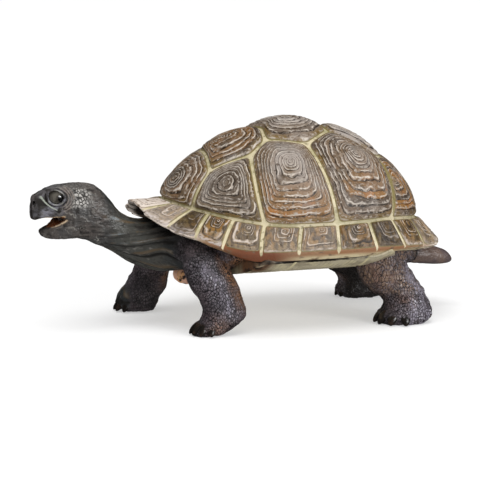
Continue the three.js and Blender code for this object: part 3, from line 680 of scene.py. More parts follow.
def normals_of(points, quads, triangles):
    """The way out of the surface at each point, from the area-weighted faces round it."""
    total = np.zeros_like(points)
    for faces, (a, b, c, d) in ((quads, (0, 2, 1, 3)), (triangles, (0, 1, 0, 2))):
        across = points[faces[:, b]] - points[faces[:, a]]
        normal = np.cross(across, points[faces[:, d]] - points[faces[:, c]])
        for corner in range(faces.shape[1]):
            for k in range(3):
                total[:, k] += np.bincount(faces[:, corner], normal[:, k], len(points))
    return unit(total + 1e-12)


def claw_roots(rows, side, claw, stride):
    """Root and direction of each claw of a foot, fanned about the way it points."""
    x, y, half_width, half_length = read_table(rows, np.array(claw.height))
    fan = (np.arange(claw.count) / (claw.count - 1) - 0.5) * claw.spread + claw.heading
    direction = np.stack([side * np.sin(fan), -np.cos(fan), 0 * fan], -1)
    root = np.stack([
        side * (x + (half_width - claw.sunk) * np.sin(fan)),
        y + stride - (half_length - claw.sunk) * np.cos(fan),
        0 * fan + claw.height,
    ], -1)
    return root, direction


def regions(points):
    """Soft masks from 0 to 1 for the parts of the body."""
    x, y, _ = points.T
    head = smooth(-y, 66, 72)
    middle = np.maximum(1 - smooth(np.abs(x), 15.5, 18.5), smooth(-y, 50, 53))
    neck = smooth(-y, 30, 38) * (1 - head) * middle
    tail = smooth(y, 46, 50) * (1 - smooth(np.abs(x), 7, 10))
    limb = np.clip(1 - head - neck - tail, 0, 1)
    return Sizes(head=head, neck=neck, tail=tail, limb=limb)


LID = Sizes(half_length=2.86, half_height=2.45)


def from_eye(points):
    """Distance from the eye seen from the side, 1 on the lids' edge, and how far round the eye a
    place lies above and behind it, from -1 to 1."""
    along = (points[:, 1] - EYE.y) / LID.half_length
    up = (points[:, 2] - EYE.z) / LID.half_height
    reach = np.hypot(along, up)
    return reach, up / (reach + 1e-6), along / (reach + 1e-6)


def sculpt_eyes(points, side):
    """Moves the head's side in to a socket round the eye, and out to its lids and folds."""
    reach, up, back = from_eye(points)
    above, behind = smooth(up, -0.3, 0.5), smooth(back, -0.4, 0.6)
    socket = -2.4 * (1 - smooth(reach, 0.66, 0.9))
    lid = 0.5 * bell(reach, 1.02, 0.11)
    groove = -0.45 * bell(reach, 1.24, 0.12)
    brow = (0.25 + 0.2 * above) * bell(reach, 1.48, 0.13)
    fold = 0.22 * behind * (bell(reach, 1.82, 0.1) + bell(reach, 2.14, 0.1))
    crease = -0.2 * behind * (bell(reach, 1.66, 0.08) + bell(reach, 1.98, 0.07))
    onside = smooth(side * points[:, 0], 1.5, 3.5) * (1 - smooth(points[:, 2], 50.2, 51.4))
    return (socket + lid + groove + brow + fold + crease) * onside


def ridge_line(points, places, widths):
    """A bell-shaped ridge along a bent line on the head's side, from one width to another."""
    ridge = 0
    parts = len(places) - 1
    for k, (start, end) in enumerate(zip(np.array(places[:-1]), np.array(places[1:]))):
        along = end - start
        place = points[:, 1:] - start
        share = np.clip(place @ along / (along @ along), 0, 1)
        width = mix(*widths, ((k + share) / parts) ** 0.5)
        ridge = np.maximum(ridge, bell(np.linalg.norm(place - share[:, None] * along, axis=-1), 0, width))
    return ridge


CHEEK_RIDGE = ((-92.9, 48.9), (-91.9, 47.4), (-90.0, 45.7), (-87.8, 44.5))
CHEEK_RIDGE_WIDTHS = (0.55, 0.2)
NOSTRIL = Sizes(x=1.9, z=46.9, radius=0.75)
MOUTH_CORNER = (-85.8, 41.4)


def sculpt(points, quads, triangles, scale_depth):
    """Adds the skin's relief to the fused body, and the fields that its paint follows."""
    normal = normals_of(points, quads, triangles)
    x, y, z = points.T
    part = regions(points)
    out = np.zeros(len(points))

    # Head: sockets and lids move sideways, and everything else along the surface's normal.
    sideways = sum(side * sculpt_eyes(points, side) for side in (1, -1)) * (y < -78)
    eye_reach, eye_up, eye_back = from_eye(points)
    ridge = ridge_line(points, CHEEK_RIDGE, CHEEK_RIDGE_WIDTHS) * part.head * smooth(np.abs(x), 1.5, 3)
    ridge = ridge * (1 + 0.35 * noise(points, 1.3, 12))
    out += 0.3 * ridge
    nostril = np.exp(-(((np.abs(x) - NOSTRIL.x) ** 2 + (z - NOSTRIL.z) ** 2) / NOSTRIL.radius**2))
    nostril = nostril * (y < -92)
    out -= 1.3 * nostril
    corner_reach = np.hypot(y - MOUTH_CORNER[0], z - MOUTH_CORNER[1])
    wrinkle = np.sin(corner_reach * 3.4 + 1.6 * noise(points, 2.2, 11))
    cheek = part.head * bell(corner_reach, 3, 2.4) * smooth(y, -85.8, -84.2)
    out += 0.14 * cheek * wrinkle
    temple = part.head * smooth(y, -84.5, -81.5) * (1 - smooth(y, -78, -74)) * smooth(z, 44, 47)
    temple = temple * smooth(eye_reach, 1.9, 2.4) * smooth(np.abs(x), 4.5, 6.5)
    crown = part.head * smooth(z, 50.5, 52) * smooth(y, -94, -90)
    scaly = np.clip(temple + 0.15 * crown, 0, 1)
    crinkle = 1 - np.abs(noise(points * (1, 0.8, 1), 1.7, 21) + 0.4 * noise(points, 0.8, 22))
    out += 0.16 * part.head * (crinkle**3 - 0.4) * smooth(y, -94, -88)

    # Neck: long folds that deepen towards the shell.
    turn = np.arctan2(z - 32, x)
    drift = 1.6 * noise(points * (1, 0.3, 1), 7, 31)
    folds = np.sin(turn * 15 + drift * 2.2) * 0.6 + np.sin(turn * 29 + drift * 4) * 0.3
    pull = smooth(-y, 36, 40) * (1 - smooth(-y, 66, 76))
    out += (0.14 + 0.72 * (1 - smooth(-y, 44, 66))) * pull * folds * (1 - part.limb)
    out += 0.06 * noise(points, 1.1, 33) * (part.neck + 0.5 * part.head)

    # Legs: scales stand out of the shins and heels, over muscle and loose folds.
    plate, _ = cells(points * (1, 1, 0.75), 1.5, 43)
    front_leg = part.limb * (y < 0)
    heel = part.limb * smooth(y, 31, 38) * (1 - smooth(z, 20, 26))
    thigh = part.limb * smooth(y, 12, 18) * smooth(z, 9, 14)
    out += 0.3 * thigh * (0.5 - 2 * np.abs(noise(points * (1, 1, 0.6), 2.4, 53)))
    scale_height = scale_depth * mix(0.5, 1.2, heel) * (1 - 0.6 * thigh)
    out += scale_height * part.limb * (smooth(plate, 0.03, 0.45) - 0.6)
    out += 0.5 * part.limb * noise(points, 4.2, 47) + 0.2 * part.limb * noise(points, 1.6, 48)

    # Toes: a swelling above each claw and a furrow between neighbours.
    toe = np.zeros(len(points))
    for _, rows, side, claw, stride in LEGS:
        for root, direction in zip(*claw_roots(rows, side, claw, stride)):
            knuckle = root + direction * 1.1 + (0, 0, 0.7)
            toe = np.maximum(toe, np.exp(-(((points - knuckle) ** 2).sum(-1)) / 2.1**2))
    out += 0.8 * toe - 0.35 * smooth(toe, 0.02, 0.2) * (1 - smooth(toe, 0.3, 0.6))

    # Tail: smooth, with a few shallow rings at its root.
    out += 0.06 * part.tail * np.sin(y * 2.4) * (1 - smooth(y, 52, 60))

    hidden = smooth(z, 33, 36) * smooth(y, -46, -40) * (np.abs(x) > 3)
    out *= 1 - hidden
    moved = points + normal * out[:, None]
    moved[:, 0] += sideways
    moved[:, 2] = np.maximum(moved[:, 2], 0.0)

    upper_half, lower_half = read_table(HEAD_AND_NECK, y)[:, 2], read_table(JAW, y)[:, 2]
    above_mouth = smooth(-normal[:, 2], 0.3, 0.6) * (y < -83) * (z > 39.5) * (z < 43)
    above_mouth = above_mouth * (1 - smooth(np.abs(x), upper_half - 1.8, upper_half - 1.0))
    below_mouth = smooth(normal[:, 2], 0.2, 0.5) * (y < -82.5) * (z < 43) * (z > 33.5)
    in_mouth = 1 - smooth(np.abs(x), lower_half - 1.6, lower_half - 1.0)
    mouth = np.clip(above_mouth + below_mouth * in_mouth, 0, 1) * smooth(y, -90.5, -88.5)
    lip = below_mouth * bell(np.abs(x), lower_half - 0.8, 0.26) * smooth(y, -89.6, -88.2)
    palate_edge = smooth(-normal[:, 2], 0.3, 0.6) * bell(np.abs(x), upper_half - 1.2, 0.3)
    lip = lip + palate_edge * (y < -84) * smooth(y, -93, -91) * (z > 40) * (z < 42.5)
    onside = smooth(np.abs(x), 3, 4.5) * (y < -78)
    lower_lid = bell(eye_reach, 1.0, 0.06) * smooth(-eye_up, 0.1, 0.5)
    upper_lid = 0.75 * bell(eye_reach, 1.02, 0.045) * smooth(eye_up, 0.2, 0.5) * smooth(eye_back, -0.4, 0.2)
    lid_line = onside * (0.8 * lower_lid * (1 - 0.6 * smooth(eye_back, 0.5, 0.9)) + upper_lid)
    lid_line += onside * 0.5 * bell(eye_reach, 1.48, 0.08) * smooth(eye_up, 0.5, 0.9)
    folds_behind = bell(eye_reach, 1.48, 0.06) + bell(eye_reach, 1.82, 0.07) + bell(eye_reach, 2.14, 0.07)
    eye_folds = onside * folds_behind * smooth(eye_back, 0.1, 0.6)
    lid_shade = onside * bell(eye_reach, 1.25, 0.08) + onside * (1 - smooth(eye_reach, 0.86, 0.93))
    lid_shade += 0.3 * onside * bell(eye_reach, 1.25, 0.3) * smooth(-eye_back, -0.2, 0.6)
    jowl = part.head * bell(corner_reach, 6.5, 4.2) * smooth(-y, 84, 86) * smooth(z, 41, 42.5)
    rear_of_leg = front_leg * smooth(z, 6, 14) * smooth(normal[:, 1], 0.1, 0.6)
    arm_pit = smooth(-y, 8, 12) * (1 - smooth(-y, 28, 34)) * smooth(z, 18, 23)
    rust = np.clip(rear_of_leg + arm_pit, 0, 1)
    brown = sum(
        part.limb * np.exp(-((y - at) ** 2 + (z - height) ** 2) / radius**2)
        for at, height, radius in ((26, 19, 7), (35, 8.4, 3.2), (-36, 3, 3.6))
    )
    # Painted sheen and glints down the front of the front shins, joined below by the heels' pale scale
    # tips.
    tips = front_leg * bell(y + 0.55 * (z - 18), -36.5, 3.2) * smooth(z, 5, 10) * (1 - smooth(z, 24, 28))
    under_lip = smooth(z, 27, 37) * smooth(y, -56, -49)
    fields = {
        "head": part.head, "limb": part.limb, "tail": part.tail,
        "mouth": mouth, "lip": lip, "bone": np.clip(ridge, 0, 1), "nostril": nostril,
        "lid_line": np.clip(lid_line, 0, 1), "lid_shade": np.clip(lid_shade, 0, 1), "jowl": jowl,
        "rust": rust, "shade": np.clip(under_lip, 0, 1),
        "scaly": np.clip(scaly, 0, 1), "crinkle": part.head * crinkle * smooth(y, -93, -87),
        "fold": 0.5 + 0.5 * np.clip(folds, -1, 1) * pull * (1 - part.limb),
        "tips": np.clip(tips + heel, 0, 1), "brown": np.clip(brown, 0, 1), "eye_folds": eye_folds,
        # Painted shade on the legs' insides, under the shell; strongest on the hind legs.
        "inner": part.limb * (1 - smooth(np.abs(x), 22, 30)) * np.where(y < 0, 0.35, 1.0),
        "thigh": thigh,
    }
    return moved, fields


# ------------------------------------------------------------ materials

def linear(colour):
    """An sRGB hex colour such as "8a7763" as linear red, green and blue."""
    channels = np.array([int(colour[k:k + 2], 16) for k in (0, 2, 4)]) / 255
    return tuple(np.where(channels <= 0.04045, channels / 12.92, ((channels + 0.055) / 1.055) ** 2.4))


def add_node(tree, kind, links=None, **settings):
    """Adds a node. links gives each input by name or number a socket to link or a value to hold,
    and settings are the node's own."""
    node = tree.nodes.new(kind)
    for key, value in settings.items():
        setattr(node, key, value)
    for key, value in (links or {}).items():
        if isinstance(value, bpy.types.NodeSocket):
            tree.links.new(value, node.inputs[key])
        else:
            node.inputs[key].default_value = value
    return node


class Paint:
    """A painted vinyl material that is built up coat by coat over a base colour."""

    def __init__(self, name, base):
        self.material = bpy.data.materials.new(name)
        self.material.use_nodes = True
        self.tree = self.material.node_tree
        self.tree.nodes.clear()
        self.place = add_node(self.tree, "ShaderNodeTexCoord").outputs["Object"]
        self.colour = add_node(self.tree, "ShaderNodeRGB").outputs[0]
        self.colour.default_value = (*linear(base), 1)

    def field(self, name):
        """The mesh's own field of that name."""
        return add_node(self.tree, "ShaderNodeAttribute", attribute_name=name).outputs["Fac"]

    def speckle(self, size_mm, low, high, seed=0.0, detail=3.0, stretch=(1, 1, 1)):
        """Cloudy noise whose clouds are that many millimetres across, cut to 0..1 between two levels."""
        spot = add_node(self.tree, "ShaderNodeMapping", {
            "Vector": self.place, "Scale": stretch, "Location": (seed, seed * 0.7, 0)})
        cloud = add_node(self.tree, "ShaderNodeTexNoise", {
            "Vector": spot.outputs[0], "Scale": 0.6 / (size_mm * MM), "Detail": detail})
        return self.window(cloud.outputs["Fac"], low, high)

    def window(self, value, low, high):
        """0 at low and 1 at high, smooth between them. low may be the larger one."""
        flip = low > high
        node = add_node(self.tree, "ShaderNodeMapRange", {
            "Value": value, "From Min": min(low, high), "From Max": max(low, high),
            "To Min": 1.0 if flip else 0.0, "To Max": 0.0 if flip else 1.0},
            interpolation_type="SMOOTHSTEP")
        return node.outputs["Result"]

    def mask(self, mask):
        """A field from its name, or a field or value cut between the two levels given with it. Any
        other value is a mask already."""
        source, *levels = mask if isinstance(mask, tuple) else (mask,)
        value = self.field(source) if isinstance(source, str) else source
        return self.window(value, *levels) if levels else value

    def product(self, *values):
        """All the values multiplied together."""
        result = values[0]
        for value in values[1:]:
            links = {0: result, 1: value}
            result = add_node(self.tree, "ShaderNodeMath", links, operation="MULTIPLY").outputs[0]
        return result

    def scales(self, size_mm, stretch=(1, 1, 1)):
        """Scales that many millimetres across: how far a place is from their borders, 0 to about
        0.5, and each scale's random number."""
        wobble = add_node(self.tree, "ShaderNodeTexNoise", {"Vector": self.place, "Scale": 300.0})
        spot = add_node(self.tree, "ShaderNodeMapping", {"Vector": self.place, "Scale": stretch})
        moved = add_node(self.tree, "ShaderNodeVectorMath", {
            0: wobble.outputs["Color"], 1: (0.0006, 0.0006, 0.0006), 2: spot.outputs[0]},
            operation="MULTIPLY_ADD")
        links = {"Vector": moved.outputs[0], "Scale": 1 / (size_mm * MM), "Randomness": 0.85}
        border = add_node(self.tree, "ShaderNodeTexVoronoi", links, feature="DISTANCE_TO_EDGE")
        cell = add_node(self.tree, "ShaderNodeTexVoronoi", links, feature="F1")
        return border.outputs["Distance"], cell.outputs["Color"]

    def either(self, first, second):
        """The higher of two values."""
        links = {0: first, 1: second}
        return add_node(self.tree, "ShaderNodeMath", links, operation="MAXIMUM").outputs[0]

    def coats(self, *rows):
        """Paints colours over what is there, in order. A row holds a colour, the masks that are all
        high where it is painted and, where it is speckled, the speckle's numbers."""
        for colour, masks, *clouds in rows:
            values = [self.mask(mask) for mask in masks] + [self.speckle(*cloud) for cloud in clouds]
            links = {0: self.product(*values), 6: self.colour, 7: (*linear(colour), 1)}
            self.colour = add_node(self.tree, "ShaderNodeMix", links, data_type="RGBA").outputs[2]

    def bump(self, height, depth_mm, below=None):
        """Fine relief of that depth in millimetres, over any relief already there."""
        links = {"Height": height, "Distance": depth_mm * MM, "Strength": 1.0}
        if below:
            links["Normal"] = below
        return add_node(self.tree, "ShaderNodeBump", links).outputs["Normal"]

    def grain(self, size_mm, depth_mm, below=None, detail=4, stretch=(1, 1, 1)):
        """Fine cloudy relief of that size and depth, over any relief already there."""
        return self.bump(self.speckle(size_mm, 0.3, 0.7, 0, detail, stretch), depth_mm, below)

    def finish(self, roughness, normal=None, coat=0.0, coat_roughness=0.1, coat_ior=1.5, glow=0.0):
        """Ends in a vinyl surface: IOR 1.5, with that roughness and an optional clear coat."""
        links = {"Base Color": self.colour, "Roughness": roughness, "IOR": 1.5,
                 "Coat Weight": coat, "Coat Roughness": coat_roughness, "Coat IOR": coat_ior,
                 "Emission Color": (1, 1, 1, 1), "Emission Strength": glow}
        if normal:
            links["Normal"] = normal
        shader = add_node(self.tree, "ShaderNodeBsdfPrincipled", links)
        add_node(self.tree, "ShaderNodeOutputMaterial", {"Surface": shader.outputs[0]})
        return self.material


def paint_rings(paint, groove_colour, crest_colour):
    """Washes a ring's groove dark and dry-brushes the crest just inside it pale. Gives back the
    place in the ring, from 0 to 1."""
    ring = add_node(paint.tree, "ShaderNodeMath", {0: paint.field("ring")}, operation="FRACT")
    part = ring.outputs[0]
    on_plate = paint.mask(("edge", 0.5, 1.2))
    sway = add_node(paint.tree, "ShaderNodeMath", {
        0: paint.field("ring"), 1: 3.0, 2: paint.speckle(2, 0.2, 0.8, 0.55)}, operation="MULTIPLY_ADD")
    fine = add_node(paint.tree, "ShaderNodeMath", {0: sway.outputs[0]}, operation="FRACT").outputs[0]
    groove = paint.either(paint.window(part, 0.82, 0.94), paint.window(part, 0.09, 0.01))
    paint.coats(
        (groove_colour, [(fine, 0.72, 1.0), on_plate], (1.6, 0.4, 0.75, 0.57)),
        (crest_colour, [(fine, 0.3, 0.1), on_plate], (1.3, 0.48, 0.8, 0.59)),
        (groove_colour, [groove, on_plate], (2.5, 0.15, 0.6, 0.61, 2)),
        (crest_colour, [(part, 0.56, 0.68), (part, 0.82, 0.75), ("rust", 2.0, 0.4), on_plate],
         (2.2, 0.36, 0.56, 0.71)),
    )
    return part


def scute_paint():
    """Satin vinyl, sprayed taupe, washed dark in the grooves and dry-brushed pale on the crests.
    The eye sees matt layers of thin paint, with rust and olive patches and a soft low shine."""
    paint = Paint("painted_vinyl_scutes", "6e5e4c")
    paint.coats(
        ("80776f", [], (7, 0.42, 0.62, 0.11)),
        ("54473b", [("band", 0.45, 0.95)], (4, 0.3, 0.55, 0.23)),
        ("aca49e", ["pale"], (5, 0.3, 0.55, 0.27)),
        ("2f261e", [("pale", 0.0, -1.0)], (6, 0.2, 0.5, 0.29)),
        ("93672f", ["rust", ("band", 1.0, 0.5)], (4.5, 0.36, 0.52, 0.31)),
        ("ac6d2c", ["rust", "rust", ("band", 0.8, 0.3)], (4, 0.5, 0.62, 0.47)),
        ("7b6337", [("edge", 3.4, 1.2)], (4, 0.4, 0.6, 0.53)),
    )
    part = paint_rings(paint, "2b2119", "cfc5b9")
    paint.coats(
        ("aba095", [(part, 0.2, 0.5)], (0.7, 0.5, 0.68, 0.83, 5)),
        ("4b3d31", [], (0.7, 0.56, 0.75, 0.91, 5)),
        ("8b7f52", [("edge", 0.95, 0.6)]),
    )
    return paint.finish(0.5, paint.grain(0.5, 0.09))


def marginal_paint():
    """Satin vinyl on the small scutes of the edge: ochre above, pinkish grey ridges and pale
    lilac-grey below, washed dark in the grooves. The front ones are brushed over with cream."""
    paint = Paint("painted_vinyl_marginals", "7d6840")
    paint.coats(
        ("5c4b2e", [], (3, 0.46, 0.6, 0.12)),
        ("94692f", ["rust"], (4, 0.36, 0.54, 0.22)),
        ("a1917f", [("low", 0.35, 0.8)], (3, 0.35, 0.55, 0.32)),
        ("55452f", [("low", 0.75, 0.45)], (1.0, 0.46, 0.58, 0.37, 3, (1, 1, 0.35))),
    )
    part = paint_rings(paint, "3b2d20", "cbbdb0")
    paint.coats(
        ("cfc4bf", [(part, 0.05, 0.4), ("low", 0.5, 0.85)], (1.0, 0.36, 0.56, 0.42, 3, (1, 1, 2.5))),
        ("ddd0c4", ["pale"], (2.2, 0.1, 0.36, 0.52)),
        ("9b8674", ["pale", (part, 0.74, 0.9)], (1.6, 0.2, 0.5, 0.62)),
        ("2f261e", [("pale", 0.0, -1.0)], (4, 0.2, 0.5, 0.66)),
        ("4a3b2b", [], (0.7, 0.56, 0.74, 0.92, 5)),
        ("8b7f52", [("edge", 0.95, 0.6), ("low", 0.75, 0.6)]),
    )
    return paint.finish(0.5, paint.grain(1.3, 0.25, paint.grain(0.5, 0.07), 3))


def shell_paint():
    """The shell under its scutes: satin cream in the seams, sprayed rust and cream below the rim,
    with a dark line of shadow paint along the parting line."""
    paint = Paint("painted_vinyl_seams", "d3c7a6")
    wide = add_node(paint.tree, "ShaderNodeMath", {
        0: paint.field("below"), 1: 1.3, 2: paint.field("seam_gap")}, operation="MULTIPLY_ADD")
    flare = add_node(paint.tree, "ShaderNodeMath", {
        0: paint.mask(("share", 0.7, 1.0)), 1: 0.22, 2: wide.outputs[0]}, operation="MULTIPLY_ADD")
    skirt = paint.product(paint.mask(("share", 0.6, 0.66)), paint.window(flare.outputs[0], 0.55, 0.72))
    streak = (0.35, 0.35, 1)
    paint.coats(
        ("b3aa84", [], (3.5, 0.42, 0.62, 0.1)),
        ("8b8060", [], (1.2, 0.54, 0.7, 0.2, 4)),
        ("ad9470", [skirt]),
        ("9a7048", [skirt, ("below", 0.8, 0.1)], (4, 0.4, 0.6, 0.3, 3, streak)),
        ("744023", [skirt, "rusty"], (4, 0.15, 0.45, 0.35, 3, streak)),
        ("bcae8b", [skirt, ("below", 0.15, 0.55), ("rusty", 0.9, 0.4)], (4, 0.3, 0.5, 0.4, 3, streak)),
        ("ddd0c4", [skirt, "front"]),
        # Painted shade on the underside of the front lip.
        ("33261f", ["front", ("below", 0.5, 0.85)]),
        ("6b5640", [skirt], (0.8, 0.54, 0.7, 0.5, 5, streak)),
        ("2a201a", ["notch", "front", ("share", 0.8, 0.95)]),
        ("1a1410", [("below", 0.7, 0.8), ("front", 0.6, 0.2)]),
    )
    return paint.finish(0.5, paint.grain(0.6, 0.06))


def belly_paint():
    """Satin cream and grey paint on the plastron, with dark washed seams."""
    paint = Paint("painted_vinyl_plastron", "b0a68c")
    ring = add_node(paint.tree, "ShaderNodeMath", {0: paint.field("ring")}, operation="FRACT")
    paint.coats(
        ("968c74", [], (6, 0.4, 0.6, 0.1)),
        ("bab08f", [], (4, 0.5, 0.65, 0.2)),
        ("7a6d53", [(ring.outputs[0], 0.8, 0.97)], (2, 0.4, 0.6, 0.3)),
        ("c5bb94", [("edge", 0.7, 0.3)]),
        ("6b4a31", [("buttress", 0.0, 0.7)], (3, 0.2, 0.5, 0.4)),
        # Dark brown, partly painted shade in the pits behind the front legs.
        ("2a1e17", [("buttress", 0.3, 1.0)], (1.6, 0.42, 0.58, 0.5)),
        # Painted shadow along the parting line.
        ("1f1813", ["parting"], (5, 0.3, 0.48, 0.6)),
    )
    return paint.finish(0.52, paint.grain(0.6, 0.06))


def gular_paint():
    """Satin red-brown paint with ochre dry-brushing, on the lump under the throat."""
    paint = Paint("painted_vinyl_gular", "c4967d")
    paint.coats(("d09b66", [], (2.2, 0.47, 0.6, 0.1)), ("33221b", [], (1.4, 0.55, 0.65, 0.3)))
    return paint.finish(0.45, paint.grain(0.6, 0.08))


def skin_paint():
    """Satin vinyl skin: charcoal on the head and neck, plum-brown on the legs and tail, black
    washed into the folds and between the scales, and pale grey dry-brushed over their tops."""
    paint = Paint("painted_vinyl_skin", "484844")
    border, _ = paint.scales(0.85, (1, 1, 0.7))
    shield, number = paint.scales(1.35, (1, 1.1, 0.9))
    crease, _ = paint.scales(1.2, (1, 1, 0.5))
    unlimbed = ("limb", 0.5, 0.1)
    paint.coats(
        ("45443f", [], (5, 0.4, 0.6, 0.1)),
        ("323536", [], (9, 0.45, 0.6, 0.2)),
        ("484746", ["head"]),
        ("524c48", ["head"], (5, 0.42, 0.6, 0.25)),
        ("524a46", ["head"], (6, 0.5, 0.62, 0.3)),
        ("787780", ["jowl"], (2, 0.28, 0.55, 0.33)),
        ("312e2c", [unlimbed], (0.8, 0.5, 0.72, 0.34, 3, (1, 0.3, 1))),
        ("6a6762", [unlimbed], (0.9, 0.58, 0.76, 0.36, 3, (1, 0.35, 1))),
        ("454044", ["limb"]),
        ("5f5458", ["limb"], (6, 0.42, 0.6, 0.4)),
        # A soft lilac streak of painted sheen down the front shins.
        ("6f6972", ["tips"], (3, 0.35, 0.6, 0.42)),
        ("86685a", ["brown"], (4, 0.3, 0.55, 0.45)),
        ("564b4c", ["tail"]),
        ("68574f", ["tail"], (5, 0.42, 0.6, 0.5)),
        ("5a4a35", [("fold", 0.6, 0.9)], (5, 0.46, 0.6, 0.65)),
        ("23211f", [("fold", 0.32, 0.08)]),
        # Pale blue-grey on the neck folds' crests: dry-brush, with painted sheen.
        ("767d7f", [("fold", 0.74, 0.98)], (3, 0.42, 0.62, 0.6, 3, (1, 0.35, 1))),
        ("946a4c", ["rust"], (2.5, 0.3, 0.52, 0.7, 3, (1, 1, 0.45))),
        ("3a2620", ["rust"], (1.2, 0.55, 0.67, 0.74, 3, (1, 1, 0.25))),
        ("806856", ["thigh", (crease, 0.04, 0.2)], (3.5, 0.36, 0.56, 0.76)),
        ("231d1d", ["thigh", (crease, 0.1, 0.02)], (2.5, 0.3, 0.58, 0.78)),
        ("161315", [(border, 0.18, 0.02), "limb", ("thigh", 1.6, 0.2)], (3, 0.19, 0.52, 0.8)),
        ("696166", ["limb", (border, 0.04, 0.28)], (3, 0.44, 0.64, 0.9)),
        # Pale dry-brushed scale tops there, then small painted glints.
        ("8a8490", ["tips", (border, 0.0, 0.14)], (1.6, 0.46, 0.62, 1.1, 3, (1, 1, 0.3))),
        ("b4b1bb", ["tips", (border, 0.1, 0.26)], (0.9, 0.55, 0.66, 1.11)),
        # Painted shade on the legs' insides, under the shell.
        ("2a2625", ["inner"], (5, 0.1, 0.4, 1.12)),
        ("7f7c78", ["scaly"], (3, 0.3, 0.5, 1.13)),
        ("2b2927", [(shield, 0.14, 0.02), "scaly"], (3, 0.2, 0.5, 1.15)),
        ("b5b2ad", ["scaly", (shield, 0.05, 0.2), (number, 0.1, 0.4)], (2.2, 0.28, 0.46, 1.2)),
        ("8b8881", [("crinkle", 0.86, 0.97)], (2, 0.46, 0.62, 1.22)),
        ("302d2b", [("crinkle", 0.5, 0.2), "head"], (2, 0.4, 0.6, 1.24)),
        ("8d8078", ["eye_folds"], (1.3, 0.3, 0.6, 1.23)),
        ("1e1b19", [("lid_shade", 0.2, 1.0)]),
        ("b4b4aa", ["lid_line"], (0.9, 0.36, 0.6, 1.25)),
        ("a5ab9f", [("bone", 0.25, 0.9)], (1.5, 0.25, 0.5, 1.27)),
        ("211f1d", ["shade", ("limb", 1.2, 0.0)]),
        ("0c0a09", [("nostril", 0.25, 0.5)]),
        ("7c4a24", ["mouth"]),
        ("2a170e", ["mouth"], (1.6, 0.4, 0.6, 1.3)),
        ("cdb596", ["lip"], (1.5, 0.2, 0.4, 1.35)),
    )
    tops = [
        paint.product(paint.window(value, 0.0, high), paint.field(name))
        for value, high, name in ((border, 0.25, "limb"), (shield, 0.2, "scaly"), (crease, 0.25, "thigh"))
    ]
    fibre = paint.grain(0.9, 0.2, paint.grain(0.45, 0.06), 3, (1, 0.4, 1))
    scale_tops = paint.either(paint.either(tops[0], tops[1]), tops[2])
    return paint.finish(0.36, paint.bump(scale_tops, 0.2, fibre))


def claw_paint():
    """Black gloss paint, slightly worn to brown at the root."""
    paint = Paint("painted_vinyl_claws", "1d1916")
    paint.coats(("332720", [], (1.2, 0.5, 0.7, 0.1)))
    return paint.finish(0.3, paint.grain(0.5, 0.03, detail=3))


def eye_paint():
    """A dark brown iris round a black pupil, under a clear gloss coat that gives a sharp light."""
    paint = Paint("gloss_painted_eye", "24211d")
    paint.coats(
        ("5c5850", [("rim", 1.0, 0.5)], (0.8, 0.1, 0.5, 0.2, 3, (1, 1, 0.6))),
        ("3c3833", [("rim", 1.0, 0.6)], (0.7, 0.5, 0.66, 0.5, 3, (1, 1, 0.6))),
        ("0a0908", [("pupil", 1.5, 0.95)]),
        ("030303", [("pupil", 1.05, 0.85)]),
    )
    return paint.finish(0.3, coat=1.0, coat_roughness=0.03, coat_ior=1.6)


def mouth_paint():
    """Satin orange-brown paint on the tongue."""
    paint = Paint("painted_vinyl_tongue", "8a5230")
    paint.coats(("522c19", [], (1.5, 0.5, 0.65, 0.4)))
    return paint.finish(0.4, paint.grain(0.5, 0.05, detail=3))


def studio_floor():
    """A light table's white acrylic: matt, and lit softly from below."""
    paint = Paint("lit_white_acrylic", "c8c8c8")
    paint.coats(("cacaca", [], (90, 0.4, 0.6)))
    return paint.finish(0.9, glow=0.42)


# ------------------------------------------------------------ settings

def length_setting(name, description, default, low=0.0):
    """A length in metres that the panel shows in the scene's units."""
    return FloatProperty(name=name, description=description, default=default, min=low, unit="LENGTH")


class TortoiseShellSettings(bpy.types.PropertyGroup):
    """Sizes of the scutes."""

    ring_depth: length_setting("Ring depth", "Height of a growth ring's step", 0.27 * MM)
    seam_width: length_setting(
        "Seam width", "Width of the cream seams between scutes", 1.35 * MM, 0.2 * MM)
    proud: length_setting("Plate height", "How far a plate stands proud of the seams", 0.45 * MM)
    marginal_rings: IntProperty(
        name="Marginal rings", description="Growth rings on each marginal scute", default=5, min=1)


class TortoiseSkinSettings(bpy.types.PropertyGroup):
    """Sizes of the skin's relief."""

    voxel: length_setting("Mesh size", "Edge length of the skin's mesh on the body", 0.47 * MM, 0.3 * MM)
    scale_depth: length_setting("Scale depth", "Height of the pebbled scales on the legs", 0.17 * MM)


class TortoiseStageSettings(bpy.types.PropertyGroup):
    """Camera and light."""

    azimuth: FloatProperty(
        name="Azimuth", description="Camera's angle round the figurine, 90 for its left side",
        default=math.radians(70), subtype="ANGLE")
    elevation: FloatProperty(
        name="Elevation", description="Camera's angle above the floor",
        default=math.radians(9), subtype="ANGLE")
    distance: length_setting("Distance", "From the camera to the point it looks at", 0.95, 0.1)
    light: FloatProperty(
        name="Light", description="Brightness of the soft studio light", default=1.0, min=0)


# ------------------------------------------------------------ operators

def corners_of(names, side):
    """The chart places of a scute's corners on the left, side 1, or on the right, side -1."""
    right = {name: RIGHT_JUNCTION.get(name, (-x, y)) for name, (x, y) in JUNCTION.items()}
    return [(JUNCTION if side > 0 else right)[name] for name in names.split()]


def plate_look(shell, bulge, rings, rust, rust_low, pale, tone, seed, drop=22.0, depth=1.0, banded=False):
    return Sizes(
        bulge=bulge, rings=rings, rust=rust, rust_low=rust_low, pale=pale, tone=tone, seed=seed,
        drop=drop, ring_depth=shell.ring_depth / MM * depth, edge_width=shell.seam_width / MM,
        proud=shell.proud / MM, sunk=0.45, banded=banded,
    )


